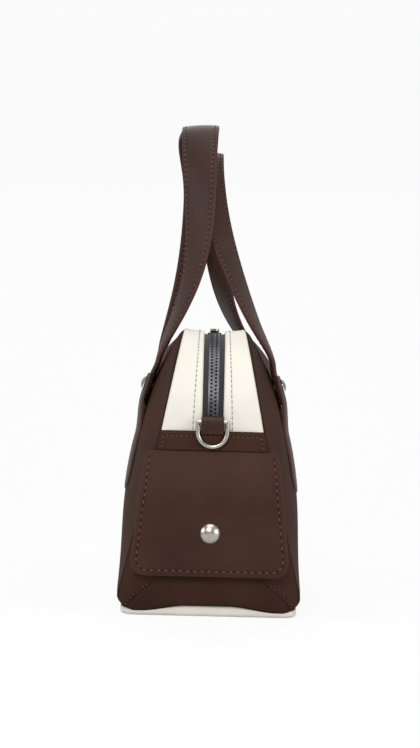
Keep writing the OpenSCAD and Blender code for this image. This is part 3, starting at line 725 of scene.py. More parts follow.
def gusset_height(share, width):
    """Height over the outline, across the strip: a turned edge at the zip, then a lip."""
    from_zip = share * width
    dip = turned_edge(from_zip, 1.3 * MM, 1.2 * MM)
    lip = 1.5 * MM * np.clip(share, 0, 1) ** 3
    sink = turned_edge(width - from_zip, 2.2 * MM, 1.7 * MM)
    return lip - 0.5 * MM - dip - sink


def gusset_grid(side, set_in):
    """Points of one gusset half, set in below its outside by a distance."""
    x, z = outline_path(SEAM_Z - 3 * MM, GUSSET_STEPS)
    along = unit(np.gradient(at(x, z), axis=0))
    share = spread(31, 0.7)[None, :]
    width = (edge_half(z) - EDGE_SET - ZIP_HALF)[:, None]
    height = gusset_height(share, width) - set_in
    y = side * (ZIP_HALF + share * width)
    out_x, out_z = -along[:, 1:] * height, along[:, :1] * height
    return at(x[:, None] + out_x, y, z[:, None] + out_z), share * width


def gusset_half(name, side):
    """One pale strip, with the grid of its outside and the distance from the zip."""
    outer, from_zip = gusset_grid(side, 0.0)
    inner, _ = gusset_grid(side, GUSSET_T)
    edge = np.minimum(from_zip, from_zip[:, -1:] - from_zip)
    # Painted shade: darker within a millimetre of both edges, where the strip turns into its seams.
    made = plate(name, outer, inner, IVORY, "bag", fade_near(edge, 0.8 * MM))
    return made, outer, from_zip


def row_across(grid, from_zip, distance):
    """A path along a grid at a fixed distance from its first column, with its normals, which
    are turned to point up at the top of the bag."""
    top = len(grid) // 2
    column = int(np.argmin(np.abs(from_zip[top] - distance)))
    normal = normals_of(grid)[:, column]
    return grid[:, column], normal * np.sign(normal[top, 2])


gusset_rows = []
for word, side in (("front", -1), ("rear", 1)):
    gusset, outer_grid, zip_way = gusset_half(word + "_gusset_leather", side)
    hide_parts(word + "_gusset")
    gusset_rows.append(stitch_row(*row_across(outer_grid, zip_way, 2.9 * MM)))
sew("gusset_stitches", gusset_rows, "bag", PALE_THREAD)
print("gusset strips", GUSSET_STEPS, "points long")

# %% [markdown]
# Both ends of the bag are alike: an end panel, a band that covers the foot of the gusset, and
# the pocket with its flap. A Mirror modifier would join the two ends into one piece. So each
# piece is built once, for +X, and a small function writes both copies and says which solid
# each stands for.

# %% Two ends from one
ENDS = (("right", 1), ("left", -1))


def both_ends(word, outer, inner, finish, tone, body=None):
    """Makes a piece at both ends from its grids at +X."""
    for end, side in ENDS:
        flip = np.array([side, 1, 1])
        rides = end + "_" + body if body else "bag"
        piece = plate(end + "_" + word, outer * flip, inner * flip, finish, rides, tone)
        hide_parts(end + "_" + word.replace("_leather", ""))


def sew_both_ends(word, rows, body=None):
    """The same stitches at both ends, from rows of points and faces at +X."""
    for end, side in ENDS:
        rides = end + "_" + body if body else "bag"
        sew(end + "_" + word, rows, rides, THREAD, side)


print("ends", [word for word, _ in ENDS])

# %% [markdown]
# The end panel is almost hidden, so a plain grid between the two seams does for it. The band
# above is turned in at its upper edge and sewn a little below. It could be a box with a
# bevel, but a depth over y and z also holds the groove that the stitches pull.

# %% End panels and bands
END_T = 1.4 * MM
BAND_LOW = size_of("right_end_band", 2, 0)
BAND_HIGH = size_of("right_end_band", 2, 1)
BAND_SEAM = 2.8 * MM
BAND_SIDE_SEAM = 3.4 * MM
BAND_STITCH = {"pitch": 2.9 * MM, "length": 2.5 * MM}


def end_grid(low, high, rows, cols):
    """y and z over an end between two heights, as wide as the bag less a seam."""
    across, up = np.meshgrid(spread(rows), spread(cols, 0.7), indexing="ij")
    z = low + (high - low) * up
    return (2 * across - 1) * (edge_half(z) - EDGE_SET), z


y, z = end_grid(PANEL_Z, SEAM_Z - 0.3 * MM, 61, 61)
end_outer = at(np.full_like(y, HALF_LEN), y, z)
end_inner = end_outer - np.array([END_T, 0, 0])
# Painted shade: darker towards both side seams.
tone = fade_near(edge_half(z) - EDGE_SET - np.abs(y), 2 * MM)
both_ends("end_panel_leather", end_outer, end_inner, BROWN, tone)


def band_depth(y, z):
    """How far the band stands off the end: turned edges all round and a groove at the seam."""
    side = edge_half(z) - EDGE_SET - np.abs(y)
    top = BAND_HIGH - z
    edges = turned_edge(top, 1.6 * MM, 1.2 * MM) + turned_edge(side, 1.6 * MM, 1.2 * MM)
    return 1.9 * MM - edges - 0.35 * MM * bell(top, BAND_SEAM, 0.7 * MM)


y, z = end_grid(BAND_LOW, BAND_HIGH + 0.4 * MM, 121, 41)
band_outer = at(HALF_LEN + band_depth(y, z), y, z)
band_inner = at(np.full_like(y, HALF_LEN + 0.05 * MM), y, z)
tone = fade_near(BAND_HIGH - z, 0.7 * MM) * 0.5
both_ends("end_band_leather", band_outer, band_inner, BROWN, tone)


def end_row(y, z, depth, **sizes):
    """Stitches through given places on an end, where depth says how far out they lie."""
    path = at(HALF_LEN + depth, y, z)
    return stitch_row(path, np.tile([1.0, 0.0, 0.0], (len(path), 1)), **sizes)


row_y = np.linspace(-1, 1, 80) * (edge_half(BAND_HIGH) - BAND_SIDE_SEAM)
row_z = np.full_like(row_y, BAND_HIGH - BAND_SEAM)
band_rows = [end_row(row_y, row_z, band_depth(row_y, row_z), **BAND_STITCH)]
for side in (-1, 1):
    post_z = np.linspace(BAND_HIGH - 2.6 * MM, BAND_LOW + 0.8 * MM, 12)
    post_y = side * (edge_half(post_z) - BAND_SIDE_SEAM)
    band_rows.append(end_row(post_y, post_z, band_depth(post_y, post_z), **BAND_STITCH))
sew_both_ends("band_stitches", band_rows)
print("band from", round(BAND_LOW, 4), "to", round(BAND_HIGH, 4))

# %% [markdown]
# The pocket is one piece of leather whose lower corners are pinched into darts, so it stands
# off the end like a shallow tray. It could be folded by a simulation. The tray is simple
# enough for a formula: its depth grows with the distance from the side or lower seam,
# whichever is nearer, and where the two are equal runs the dart.

# %% Pockets with darts
POCKET_FULL = size_of("right_pocket", 0, 1) - HALF_LEN
MOUTH_Z = size_of("right_pocket", 2, 1)
DART_REACH = 16 * MM
POCKET_T = 1.5 * MM
FOOT_HALF = BASE_HALF - BASE_TUCK
SIDE_SEAM = 0.3 * MM
FOOT_SEAM = 2.5 * MM
DIAGONAL = 1.42
DART_STITCH = {"pitch": 2.6 * MM, "length": 1.9 * MM, "radius": 0.3 * MM}


def rim_top(y):
    """Upper edge of the base at the ends: high in the middle, low under the darts, and up
    again at the corners, from two smooth steps."""
    fall = 3.7 * MM * smooth(np.abs(y), 12 * MM, 42 * MM)
    climb = 2.2 * MM * smooth(np.abs(y), 44 * MM, 53 * MM)
    return 6.4 * MM - fall + climb


def seam_ways(y, z):
    """Distances from a pocket's side seam and its lower seam, and from the dart's line, where
    the two are equal."""
    from_side = edge_half(z) - SIDE_SEAM - np.abs(y)
    from_base = z - FOOT_SEAM
    return from_side, from_base, np.abs(from_side - from_base) / DIAGONAL


def pocket_depth(y, z):
    """Depth of the pocket's outside: a rounded slope up from the nearer seam, with a pinch
    along each dart and two soft folds beside it."""
    from_side, from_base, hip = seam_ways(y, z)
    share = np.clip(np.minimum(from_side, from_base) / DART_REACH, 0, 1)
    slope = 0.55 * share + 0.45 * np.sin(share * math.pi / 2)
    along = np.clip(1 - np.maximum(from_side, from_base) / (19 * MM), 0, 1) ** 0.5
    pinch = 0.9 * MM * bell(hip, 0, 1.1 * MM) * along
    swell = 0.5 * MM * bell(hip, 3 * MM, 2 * MM) * along
    fold = np.sin((from_side - 0.12 * z) / (2.1 * MM)) * 0.28 * MM
    low = bell(z, 24 * MM, 16 * MM) * np.sin(math.pi * share)
    edge = turned_edge(np.minimum(from_side, z - rim_top(y)), 1.3 * MM, 1.1 * MM)
    base = POCKET_T + (POCKET_FULL - POCKET_T) * slope
    return base - pinch + swell + fold * low - edge


print("pocket rim in the middle", float(rim_top(0.0)))

# %% [markdown]
# The depth could be put on a square grid, but the pocket's foot follows the wavy rim of the
# base. So each column of the grid starts on that rim and ends at the mouth.

# %% Pocket grids and darts


across, up = np.meshgrid(spread(241, 0.3), spread(171, 0.3), indexing="ij")
low_half = edge_half(30 * MM)
low_y = (2 * across - 1) * (low_half - SIDE_SEAM)
low_z = rim_top(low_y * FOOT_HALF / low_half) + 0.1 * MM
z = low_z + (MOUTH_Z - low_z) * up
y = (2 * across - 1) * (edge_half(z) - SIDE_SEAM)
depth = pocket_depth(y, z)
pocket_outer = at(HALF_LEN + depth, y, z)
pocket_inner = at(HALF_LEN + depth - np.minimum(depth - 0.2 * MM, POCKET_T), y, z)
# Painted shade along each dart and along the foot seam, from the dark edge colour.
dart_shade = fade_near(seam_ways(y, z)[2], 0.8 * MM) * (z < 21 * MM)
tone = np.maximum(dart_shade, fade_near(z - rim_top(y), 1.5 * MM))
both_ends("pocket_leather", pocket_outer, pocket_inner, BROWN, tone)

dart_rows = []
for side in (-1, 1):
    climb = np.linspace(0.1, 0.97, 40) * 18 * MM
    dart_z = FOOT_SEAM + climb
    dart_y = side * (edge_half(dart_z) - SIDE_SEAM - climb + 1.2 * MM)
    dart_rows.append(end_row(dart_y, dart_z, pocket_depth(dart_y, dart_z), **DART_STITCH))
sew_both_ends("dart_stitches", dart_rows)
print("pocket depth", round(float(depth.max()), 4))

# %% [markdown]
# The flap hangs from a hinge line under the band and curves out over the pocket. Its outline
# is a rounded trapezium. It could be a flat shape with a bevel, bent by a modifier. A grid
# over the outline is bent by a formula instead, and the distance from the border gives the
# turned edge, the groove of the stitches and the colour of the edge.

# %% Flaps
FLAP_T = 2.4 * MM
HINGE_X = HALF_LEN + 0.3 * MM + FLAP_T / 2
HINGE_Z = size_of("right_flap", 2, 1) - FLAP_T / 2
FLAP_LOW = size_of("right_flap", 2, 0)
FLAP_X = size_of("right_flap", 0, 1) - FLAP_T / 2
FLAP_TOP = HINGE_Z + FLAP_T / 2
FLAP_CURVE = 30 * MM
FLAP_TOP_HALF = 40.6 * MM
FLAP_LOW_HALF = 48.6 * MM
FLAP_TOP_R = 4 * MM
FLAP_R = 10 * MM
FLAP_SEAM = 3.4 * MM
FLAP_STITCH = {"pitch": 4.3 * MM, "length": 3.8 * MM, "radius": 0.46 * MM}


def straight_half(z):
    """Half width of the flap's straight taper at a height."""
    return FLAP_TOP_HALF + (FLAP_LOW_HALF - FLAP_TOP_HALF) * (FLAP_TOP - z) / (FLAP_TOP - FLAP_LOW)


def flap_mid(z):
    """The flap's middle: a quarter sine out from the hinge, then straight down."""
    down = np.clip((HINGE_Z - z) / FLAP_CURVE, 0, 1)
    return HINGE_X + (FLAP_X - HINGE_X) * np.sin(down * math.pi / 2)


def flap_wave(y, z):
    """The slight unevenness of the flap's leather."""
    return np.sin(y * 47 + 0.6) * np.sin(z * 58) * 0.3 * MM


def flap_border(y, z):
    """Distance of a point from the flap's border, exact at the straight sides and close to
    it round the lower corners."""
    side = straight_half(np.minimum(z, FLAP_TOP)) - np.abs(y)
    low = z - FLAP_LOW
    straight = np.minimum(side, low)
    corner = FLAP_R - np.hypot(np.maximum(FLAP_R - side, 0), np.maximum(FLAP_R - low, 0))
    return np.where((side < FLAP_R) & (low < FLAP_R), np.minimum(straight, corner), straight)


print("flap from", round(FLAP_LOW, 4), "to", round(FLAP_TOP, 4))

# %% [markdown]
# The two faces could be copies of each other, set apart. They differ a little here: the outer
# ply stands up inside its edge, and only the outer face shows the pull of the stitches.

# %% Flap grids


across, up = np.meshgrid(2 * spread(181, 0.5) - 1, spread(141, 0.45), indexing="ij")
z = FLAP_LOW + (FLAP_TOP - FLAP_LOW) * up
top_corner = turned_edge(FLAP_TOP - z, FLAP_TOP_R, FLAP_TOP_R)
low_corner = turned_edge(z - FLAP_LOW, FLAP_R, FLAP_R)
y = across * (straight_half(z) - top_corner - low_corner)
inside = flap_border(y, z)
sewn = z < HINGE_Z - 2 * MM
edges = turned_edge(inside, 1.3 * MM, 1.1 * MM) + turned_edge(FLAP_TOP - z, 1.2 * MM, 1.1 * MM)
groove = 0.32 * MM * bell(inside, FLAP_SEAM, 0.8 * MM) * sewn
ply = 0.25 * MM * np.clip((inside - 1.1 * MM) / (0.8 * MM), 0, 1)
half_t = FLAP_T / 2 - 0.1 * MM
slope = np.gradient(flap_mid(z), axis=1) / np.maximum(np.gradient(z, axis=1), 1e-9)
lean = np.sqrt(1 + slope ** 2)
middle = flap_mid(z) + flap_wave(y, z)
flap_outer = at(middle + (half_t - edges - groove + ply) * lean, y, z)
flap_inner = at(middle - (half_t - edges) * lean, y, z)
# The border takes the real reddish edge paint; the stitch groove takes painted shade.
tone = fade_near(inside, 0.9 * MM) - 0.8 * bell(inside, FLAP_SEAM, 0.6 * MM) * sewn
both_ends("flap_leather", flap_outer, flap_inner, FLAP, tone, "flap")
print("flap grid", flap_outer.shape[:2])

# %% [markdown]
# The flap is sewn round its sides and lower edge with a coarser stitch. Its path could be
# picked from the mesh, where it would jump from point to point. It is worked out as the
# border itself, shrunk by the seam's distance.

# %% Stitches round the flaps


def flap_seam(count=500):
    """The stitch line's y and z: down one side, along the foot, up the other."""
    low = FLAP_LOW + FLAP_SEAM
    radius = FLAP_R - FLAP_SEAM
    down_z = np.linspace(FLAP_TOP - 4.5 * MM, low + radius, count // 3)
    down_y = FLAP_SEAM - straight_half(down_z)
    turn = np.linspace(0, math.pi / 2, count // 6)[1:]
    turn_y = down_y[-1] + radius * (1 - np.cos(turn))
    turn_z = low + radius * (1 - np.sin(turn))
    half_y = np.concatenate([down_y, turn_y, [0.0]])
    half_z = np.concatenate([down_z, turn_z, [low]])
    return (np.concatenate([half_y, -half_y[-2::-1]]),
            np.concatenate([half_z, half_z[-2::-1]]))


row_y, row_z = flap_seam()
row_x = flap_mid(row_z) + half_t - 0.05 * MM + flap_wave(row_y, row_z)
flap_rows = [end_row(row_y, row_z, row_x - HALF_LEN, **FLAP_STITCH)]
sew_both_ends("flap_stitches", flap_rows, "flap")
print("flap stitches", len(flap_rows[0][0]) // (SIDES * RINGS))

# %% [markdown]
# The base is a tray of pale leather. It could be a box with its top taken off, but then the
# turn from floor to rim is hard to control. So a square grid is laid over it, and rings of
# the square become rings of the tray: the inner ones lie flat, the next go round the lower
# edge, and the outermost climb the rim, whose height changes along the ends.

# %% Base
BASE_X = size_of("base_panel", 0, 1)
BASE_Y = size_of("base_panel", 1, 1)
BASE_R = 8 * MM
BASE_BEND = 2.4 * MM
BASE_LEATHER = 1.3 * MM
FLAT_RING = 0.8
STRAIGHT = 0.86


def square_rings(count):
    """Ring number 0 to 1 and direction for each point of a square grid."""
    a, b = np.meshgrid(np.linspace(-1, 1, count), np.linspace(-1, 1, count), indexing="ij")
    ring = np.maximum(np.abs(a), np.abs(b))
    safe = np.maximum(ring, 1e-9)
    return ring, a / safe, b / safe


def rounded_box(a, b, half_x, half_y, radius):
    """The point of a rounded rectangle for a point (a, b) on the border of a square. The
    square's sides are first shared out between straights and corner arcs."""
    flat_x, flat_y = half_x - radius, half_y - radius
    size_a, size_b = np.abs(a), np.abs(b)
    angle_a = np.clip((size_a - STRAIGHT) / (1 - STRAIGHT), 0, 1) * math.pi / 4
    angle_b = np.clip((size_b - STRAIGHT) / (1 - STRAIGHT), 0, 1) * math.pi / 4
    on_x = size_a >= size_b
    turn = np.where(on_x, angle_b, math.pi / 2 - angle_a)
    run_x = np.where(on_x, flat_x, flat_x * np.clip(size_a / STRAIGHT, 0, 1))
    run_y = np.where(on_x, flat_y * np.clip(size_b / STRAIGHT, 0, 1), flat_y)
    return (np.sign(a) * (run_x + radius * np.cos(turn)),
            np.sign(b) * (run_y + radius * np.sin(turn)))


def base_rim(x, y):
    """Height of the rim: even along front and rear, and as the pocket's foot at the ends."""
    share = np.clip((np.abs(x) - BASE_X + 10 * MM) / (8 * MM), 0, 1)
    return RIM_H + (rim_top(y) - RIM_H) * share


def base_grid(set_in, count=181):
    """The tray set in by a distance: flat in its inner rings, then round the edge and up."""
    ring, a, b = square_rings(count)
    half_x, half_y = BASE_X - set_in, BASE_Y - set_in
    edge_x, edge_y = rounded_box(a, b, half_x, half_y, BASE_R - set_in)
    climb = np.clip((ring - FLAT_RING) / (1 - FLAT_RING), 0, 1)
    bend = np.clip(climb / 0.5, 0, 1) * math.pi / 2
    radius = BASE_BEND - set_in * 0.6
    pull = radius * (1 - np.sin(bend))
    flat = np.clip(ring / FLAT_RING, 0, 1)
    x = edge_x * np.where(climb > 0, 1 - pull / half_x, flat * (1 - radius / half_x))
    y = edge_y * np.where(climb > 0, 1 - pull / half_y, flat * (1 - radius / half_y))
    rise = set_in + radius * (1 - np.cos(bend))
    up = np.clip((climb - 0.5) / 0.5, 0, 1)
    top = np.maximum(base_rim(edge_x, edge_y), rise)
    return at(x, y, rise + (top - rise) * up), climb


base_outer, climb = base_grid(0.0)
base_inner, _ = base_grid(BASE_LEATHER)
# Painted shade: the upper rim darkens towards the seam with the panels.
tone = np.clip((climb - 0.8) / 0.2, 0, 1) * 0.6
base = plate("base_leather", base_outer, base_inner, IVORY, "bag", tone)
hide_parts("base_panel")
print("base", [round(v, 4) for v in (BASE_X, BASE_Y)])

# %% [markdown]
# The ring tab is a short strap folded round the bar of the D-ring. It could be a curve with a
# bevel shape. The same is done with arrays, because the stitches need its directions too: the
# path is a straight up the end, a turn round the bar and a straight down again, and a rounded
# section is carried along it.

# %% Ring tabs
RING_LOW, RING_HIGH = size_of("right_d_ring", 0, 0), size_of("right_d_ring", 0, 1)
BAR_X = (RING_LOW + RING_HIGH) / 2
BAR_R = (RING_HIGH - RING_LOW) / 2
BAR_Z = size_of("right_d_ring", 2, 1) - BAR_R
TAB_HALF = 6.9 * MM
LOOP_T = 1.3 * MM


def section(half_wide, half_thick, radius, steps=6):
    """A rounded rectangle as offsets across and through, once round."""
    turn = np.linspace(0, math.pi / 2, steps)
    cos, sin = radius * np.cos(turn), radius * np.sin(turn)
    wide, thick = half_wide - radius, half_thick - radius
    one, two = at(wide + cos, thick + sin), at(-wide - sin, thick + cos)
    return np.concatenate([one, two, -one, -two])


def sweep(path, across, through, profile, thin=1.0):
    """A closed tube: the profile's two offsets, carried along a path by two directions. Its
    thickness may change along the way."""
    thick = np.broadcast_to(thin, len(path))[:, None, None]
    points = (path[:, None] + profile[None, :, :1] * across[:, None]
              + profile[None, :, 1:] * thick * through[:, None])
    rings, sides = points.shape[:2]
    pair = np.arange(sides // 2 - 1)
    end = at(pair, pair + 1, sides - 2 - pair, sides - 1 - pair)
    return points.reshape(-1, 3), tube_faces(rings, sides, end)


def loop_path():
    """x and z of the tab's middle: up, round the bar, and down in front of the band."""
    radius = BAR_R + 0.4 * MM + LOOP_T / 2
    inner_x = BAR_X - radius
    foot = SEAM_Z - 1.4 * MM
    up_z = np.linspace(foot + 1.0 * MM, BAR_Z, 12)
    turn = np.linspace(0, math.pi * 0.9, 24)
    over_x = BAR_X - radius * np.cos(turn)
    over_z = BAR_Z + radius * np.sin(turn)
    share = np.linspace(0, 1, 14)[1:]
    down_z = over_z[-1] + (foot - over_z[-1]) * share
    down_x = over_x[-1] + (HALF_LEN + 2.7 * MM - over_x[-1]) * smooth(share, 0, 1)
    return (np.concatenate([np.full(12, inner_x), over_x[1:], down_x]),
            np.concatenate([up_z, over_z[1:], down_z]))


loop_x, loop_z = loop_path()
path = at(loop_x, 0 * loop_x, loop_z)
across = np.tile([0.0, 1.0, 0.0], (len(path), 1))
through = np.cross(unit(np.gradient(path, axis=0)), across)
points, quads = sweep(path, across, through, section(TAB_HALF, LOOP_T / 2, 0.5 * MM))
for end, side in ENDS:
    tab = make_piece(end + "_ring_tab_leather", points * np.array([side, 1, 1]), quads, STRAP,
                     "bag")
    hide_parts(end + "_ring_tab")
tab_rows = []
in_front = (loop_z < BAR_Z + 1 * MM) & (np.arange(len(loop_z)) > 20)
for side in (-1, 1):
    row = path + through * LOOP_T / 2 + across * side * (TAB_HALF - 2 * MM)
    tab_rows.append(stitch_row(row[in_front], through[in_front], 2.6 * MM, 1.8 * MM, 0.28 * MM))
sew_both_ends("tab_stitches", tab_rows)
print("ring bar at", round(BAR_X, 4), round(BAR_Z, 4))

# %% [markdown]
# A handle is one strap, from its end under one tab to its end under the other. It could hang
# freely in a simulation, and would then lie anywhere but where the picture has it. So its
# line is a formula: it stands on the panel up to the fold and then rises in an arch, where x
# is a sine, z a power of it, and y leans in. The strap also turns about its line, by a
# quarter at the crown.

# %% The line of a strap
FOLD_Z = frame["record"]["behaviour"]["joints"][0]["pos_m"][2]
LEG_X = 70 * MM
STRAP_HALF = 12.25 * MM
STRAP_T = 2.8 * MM
STRAP_POINTS = 420
LEG_POINTS = 40
STRAP_LOW = size_of("front_strap_ends", 2, 0) + 8 * MM
LEG_Y = 0.6 * MM + STRAP_T / 2 + float(side_half(LEG_X, FOLD_Z))
CROWN_ROUND = 0.15
RISE_POWER = 0.45
TURN_POWER = 0.68
TURN_START = 20
BOW_UP = 0.22
TIP_SPAN = 0.62
BOW_DOWN = 14 * MM


def rounded_sine(v):
    """The size of a sine whose turn at v = 0 is rounded, so the crown isn't a point."""
    square = np.sin(v * math.pi / 2) ** 2
    return np.sqrt((square + CROWN_ROUND ** 2) / (1 + CROWN_ROUND ** 2))


def hump(share):
    """A smooth hump over shares 0 to 1: a squared half sine."""
    return np.sin(math.pi * np.clip(share, 0, 1)) ** 2


def arch(v, shape):
    """Middle of a strap at v from -1 to 1, as it leaves the front panel, and its turn. The
    legs lean in by a power of the rise, and smooth humps push them out again: one over
    most of the height, of its own size at each leg, a short one at the fold, and one
    beside the crown."""
    sine = np.sin(v * math.pi / 2)
    power = 1 / shape["width_power"]
    rise = np.maximum(0, 1 - rounded_sine(v) ** (2 * power)) ** RISE_POWER
    lean = (1 - (1 - rise) ** shape["lean"]) * (1 - (1 - rise) ** shape["leave"])
    out = hump((rise - shape["low"]) / shape["span"]) * np.where(v > 0, shape["near"], shape["far"])
    bow = shape["bow"] * np.cos(math.pi / 2 * np.clip(rise / BOW_UP, 0, 1)) ** 2
    tip = hump(-v / TIP_SPAN) * shape["tip"]
    y = -LEG_Y + (shape["crown_y"] + LEG_Y) * lean - out - bow - tip
    tilt = np.arccos(np.clip(np.abs(sine) ** power, 0, 1)) / (math.pi / 2)
    turn = math.pi / 2 * tilt ** TURN_POWER * (1 - (1 - rise) ** TURN_START)
    z = FOLD_Z + (shape["crown"] - FOLD_Z) * rise
    return at(LEG_X * sine, y, z), turn


print("fold at", round(FOLD_Z, 4), "leg stands at", round(LEG_Y, 4))

# %% [markdown]
# The legs and the arch could stay three pieces, with a kink where they meet. They are joined,
# spaced evenly and smoothed as one line, and the strap's directions are worked out from it.

# %% From legs and arch to one line


def leg_bow(z, bow):
    """How far a leg stands away from the panel below the fold: all of the bow at the fold,
    and none from the rivet down."""
    return bow * smooth(z, FOLD_Z - BOW_DOWN, FOLD_Z)


def leg(side, bow):
    """Middle of the strap on the panel, from its end up to the fold."""
    z = np.linspace(STRAP_LOW, FOLD_Z, LEG_POINTS, endpoint=False)
    y = -(side_half(LEG_X, z) + 0.45 * MM + STRAP_T / 2) - leg_bow(z, bow)
    return at(np.full_like(z, side * LEG_X), y, z)


def whole_strap(shape):
    """Leg, arch and leg as one line at an even pace, with its turn, both smoothed by a
    moving average with soft weights."""
    v = np.linspace(-1, 1, 1601)
    line, turn = arch(np.sign(v) * np.abs(v) ** 0.7, shape)
    line = np.concatenate([leg(-1, shape["bow"]), line, leg(1, shape["bow"])[::-1]])
    turn = np.pad(turn, LEG_POINTS)
    reach = reach_of(line)
    marks = np.linspace(0, reach[-1], STRAP_POINTS)
    even = pick(marks, reach, np.column_stack([line, turn]))
    weights = np.hanning(13) / np.hanning(13).sum()
    padded = np.pad(even, ((6, 6), (0, 0)), mode="reflect", reflect_type="odd")
    even = at(*[np.convolve(column, weights, "valid") for column in padded.T])
    return even[:, :3], even[:, 3], reach[-1]


def strap_frame(line, turn):
    """Directions across and through the strap at each point of its line."""
    along = unit(np.gradient(line, axis=0))
    flat = unit(at(along[:, 2], 0 * turn, -along[:, 0]))
    wide = np.cos(turn)[:, None] * flat - np.sin(turn)[:, None] * np.array([0.0, 1.0, 0.0])
    wide = unit(wide - along * (wide * along).sum(axis=1, keepdims=True))
    return wide, np.cross(along, wide)


print("strap points", STRAP_POINTS)

# %% [markdown]
# The strap is two layers sewn together over a soft core. A flat ribbon would be quicker and
# would look like paper. Its section is a little crowned in the middle, dips along both rows
# of stitches and has a rounded edge. The whole strap is one mesh.

# %% Straps
STRAP_SEAM = 2.5 * MM
THIN_END = 0.35


def strap_section(count=25):
    """Offsets across and through: a crowned face with two sewn grooves, and its mirror."""
    wide = (2 * spread(count, 0.75) - 1) * STRAP_HALF
    inside = STRAP_HALF - np.abs(wide)
    crown = 0.9 * MM * np.cos(wide / STRAP_HALF * math.pi / 2) ** 0.8
    groove = bell(inside, STRAP_SEAM, 0.7 * MM)
    edge = turned_edge(inside, 0.9 * MM, 0.9 * MM)
    half = STRAP_T / 2 - 0.4 * MM + crown - 0.4 * MM * groove - edge
    # The rounded edge takes the real reddish edge paint; the stitch grooves take painted shade.
    tone = fade_near(inside, 0.5 * MM) - 0.7 * groove
    profile = np.concatenate([at(wide, half), at(wide[::-1], -half[::-1])])
    return profile, np.concatenate([tone, tone[::-1]])


def strap_rows(line, across, through):
    """Stitches along both edges and on both faces of a strap."""
    rows = []
    for edge in (-1, 1):
        for face in (-1, 1):
            path = (line + across * edge * (STRAP_HALF - STRAP_SEAM)
                    + through * face * (STRAP_T / 2 - 0.35 * MM))
            rows.append(stitch_row(path[4:-4], through[4:-4] * face, 3.5 * MM, 3.1 * MM, 0.4 * MM))
    return rows


def strap(name, side, shape):
    """One handle: its strap and stitches. The side is 1 as the line is made, for the front,
    and -1 for its mirror in Y."""
    line, turn, length = whole_strap(shape)
    across, through = strap_frame(line, turn)
    profile, tone = strap_section()
    thin = THIN_END + (1 - THIN_END) * smooth(line[:, 2], STRAP_LOW, STRAP_LOW + 10 * MM)
    points, quads = sweep(line, across, through, profile, thin)
    sewn_points, sewn_quads = join_parts(strap_rows(line, across, through))
    flip = np.array([1, side, 1])
    points, sewn_points = points * flip, sewn_points * flip
    made = make_piece(name + "_strap", points, quads, STRAP, None,
                      np.tile(tone, len(line)))
    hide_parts(name + "_handle", name + "_strap_ends")
    sewn = make_piece(name + "_strap_stitches", sewn_points, sewn_quads, STRAP_THREAD,
                      None, dips(sewn_points))
    for piece in (made, sewn):
        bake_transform(piece)
    print(name, "strap length", round(float(length), 3))


FRONT_STRAP = {"crown": 310 * MM, "crown_y": -12.4 * MM, "width_power": 0.55, "lean": 4.0,
               "leave": 4.2, "near": -3.8 * MM, "far": 3.3 * MM, "low": -0.2, "span": 1.1,
               "bow": 1.1 * MM, "tip": 3.4 * MM}
REAR_STRAP = {"crown": 297 * MM, "crown_y": 9 * MM, "width_power": 1.25, "lean": 1.62,
              "leave": 12.0, "near": 1.6 * MM, "far": -7.6 * MM, "low": -0.2, "span": 0.95,
              "bow": 1.3 * MM, "tip": 0.0}
strap("front", 1, FRONT_STRAP)
strap("rear", -1, REAR_STRAP)

# %% [markdown]
# The tabs hold the strap ends against the panels. Each could be a bent box. As a skin over
# the panel it lies close everywhere: it rises over the thinned end of the strap, and has a
# round foot, a turned edge and a row of stitches.

# %% Handle tabs
TAB_HALF_W = 13.5 * MM
TAB_TOP = size_of("front_handle_tabs", 2, 1)
TAB_LOW = size_of("front_handle_tabs", 2, 0)
TAB_T = 0.8 * MM
TAB_OVER = 4.3 * MM
TAB_SEAM = 2.4 * MM


def tab_stand(z, bow):
    """How far a tab's face stands off the panel: thin at the foot, then a long rise over the
    thinned strap end, and flat over the strap, where it follows the bow."""
    full = smooth(z, STRAP_LOW - 18 * MM, STRAP_LOW + 11 * MM)
    return TAB_T + TAB_OVER * full + leg_bow(z, bow)


def tab_border(offset, z):
    """Distance from a tab's border."""
    side = TAB_HALF_W - np.abs(offset)
    centre = TAB_LOW + TAB_HALF_W
    low = TAB_HALF_W - np.hypot(offset, np.minimum(z - centre, 0))
    return np.minimum(np.minimum(side, low), TAB_TOP - z)


def tab_points(offset, z, leg_x, side, lift):
    """Points of a tab's face at a leg, on one side of the bag."""
    x = leg_x + offset
    return at(x, side * (side_half(x, z) + lift), z)


across, up = np.meshgrid(2 * spread(61, 0.3) - 1, spread(111, 0.4), indexing="ij")
offset = TAB_HALF_W * np.sin(across * math.pi / 2)
foot_z = TAB_LOW + TAB_HALF_W * (1 - np.cos(across * math.pi / 2))
z = foot_z + (TAB_TOP - foot_z) * up
inside = tab_border(offset, z)
seam = bell(inside, TAB_SEAM, 0.8 * MM)
shaping = turned_edge(inside, 0.8 * MM, 0.8 * MM) + 0.25 * MM * seam
# The border takes the real reddish edge paint; the stitch groove takes painted shade.
tone = fade_near(inside, 0.6 * MM) * 0.7 - 0.5 * seam


print("tab grid", offset.shape)

# %% [markdown]
# The two tabs of a side could be two objects, but they are one node of the record. So their
# points are joined to one piece, and their stitches to another.

# %% Tabs and their stitches


def tab_seam(count=60):
    """Offset and z of a tab's stitches: down one side, round the foot and up the other."""
    reach = TAB_HALF_W - TAB_SEAM
    turn = np.linspace(0, math.pi, count)
    down = np.linspace(TAB_TOP - 3 * MM, TAB_LOW + TAB_HALF_W, count)
    z = np.concatenate([down, TAB_LOW + TAB_HALF_W - reach * np.sin(turn), down[::-1]])
    one = np.ones(count)
    return reach * np.concatenate([-one, -np.cos(turn), one]), z


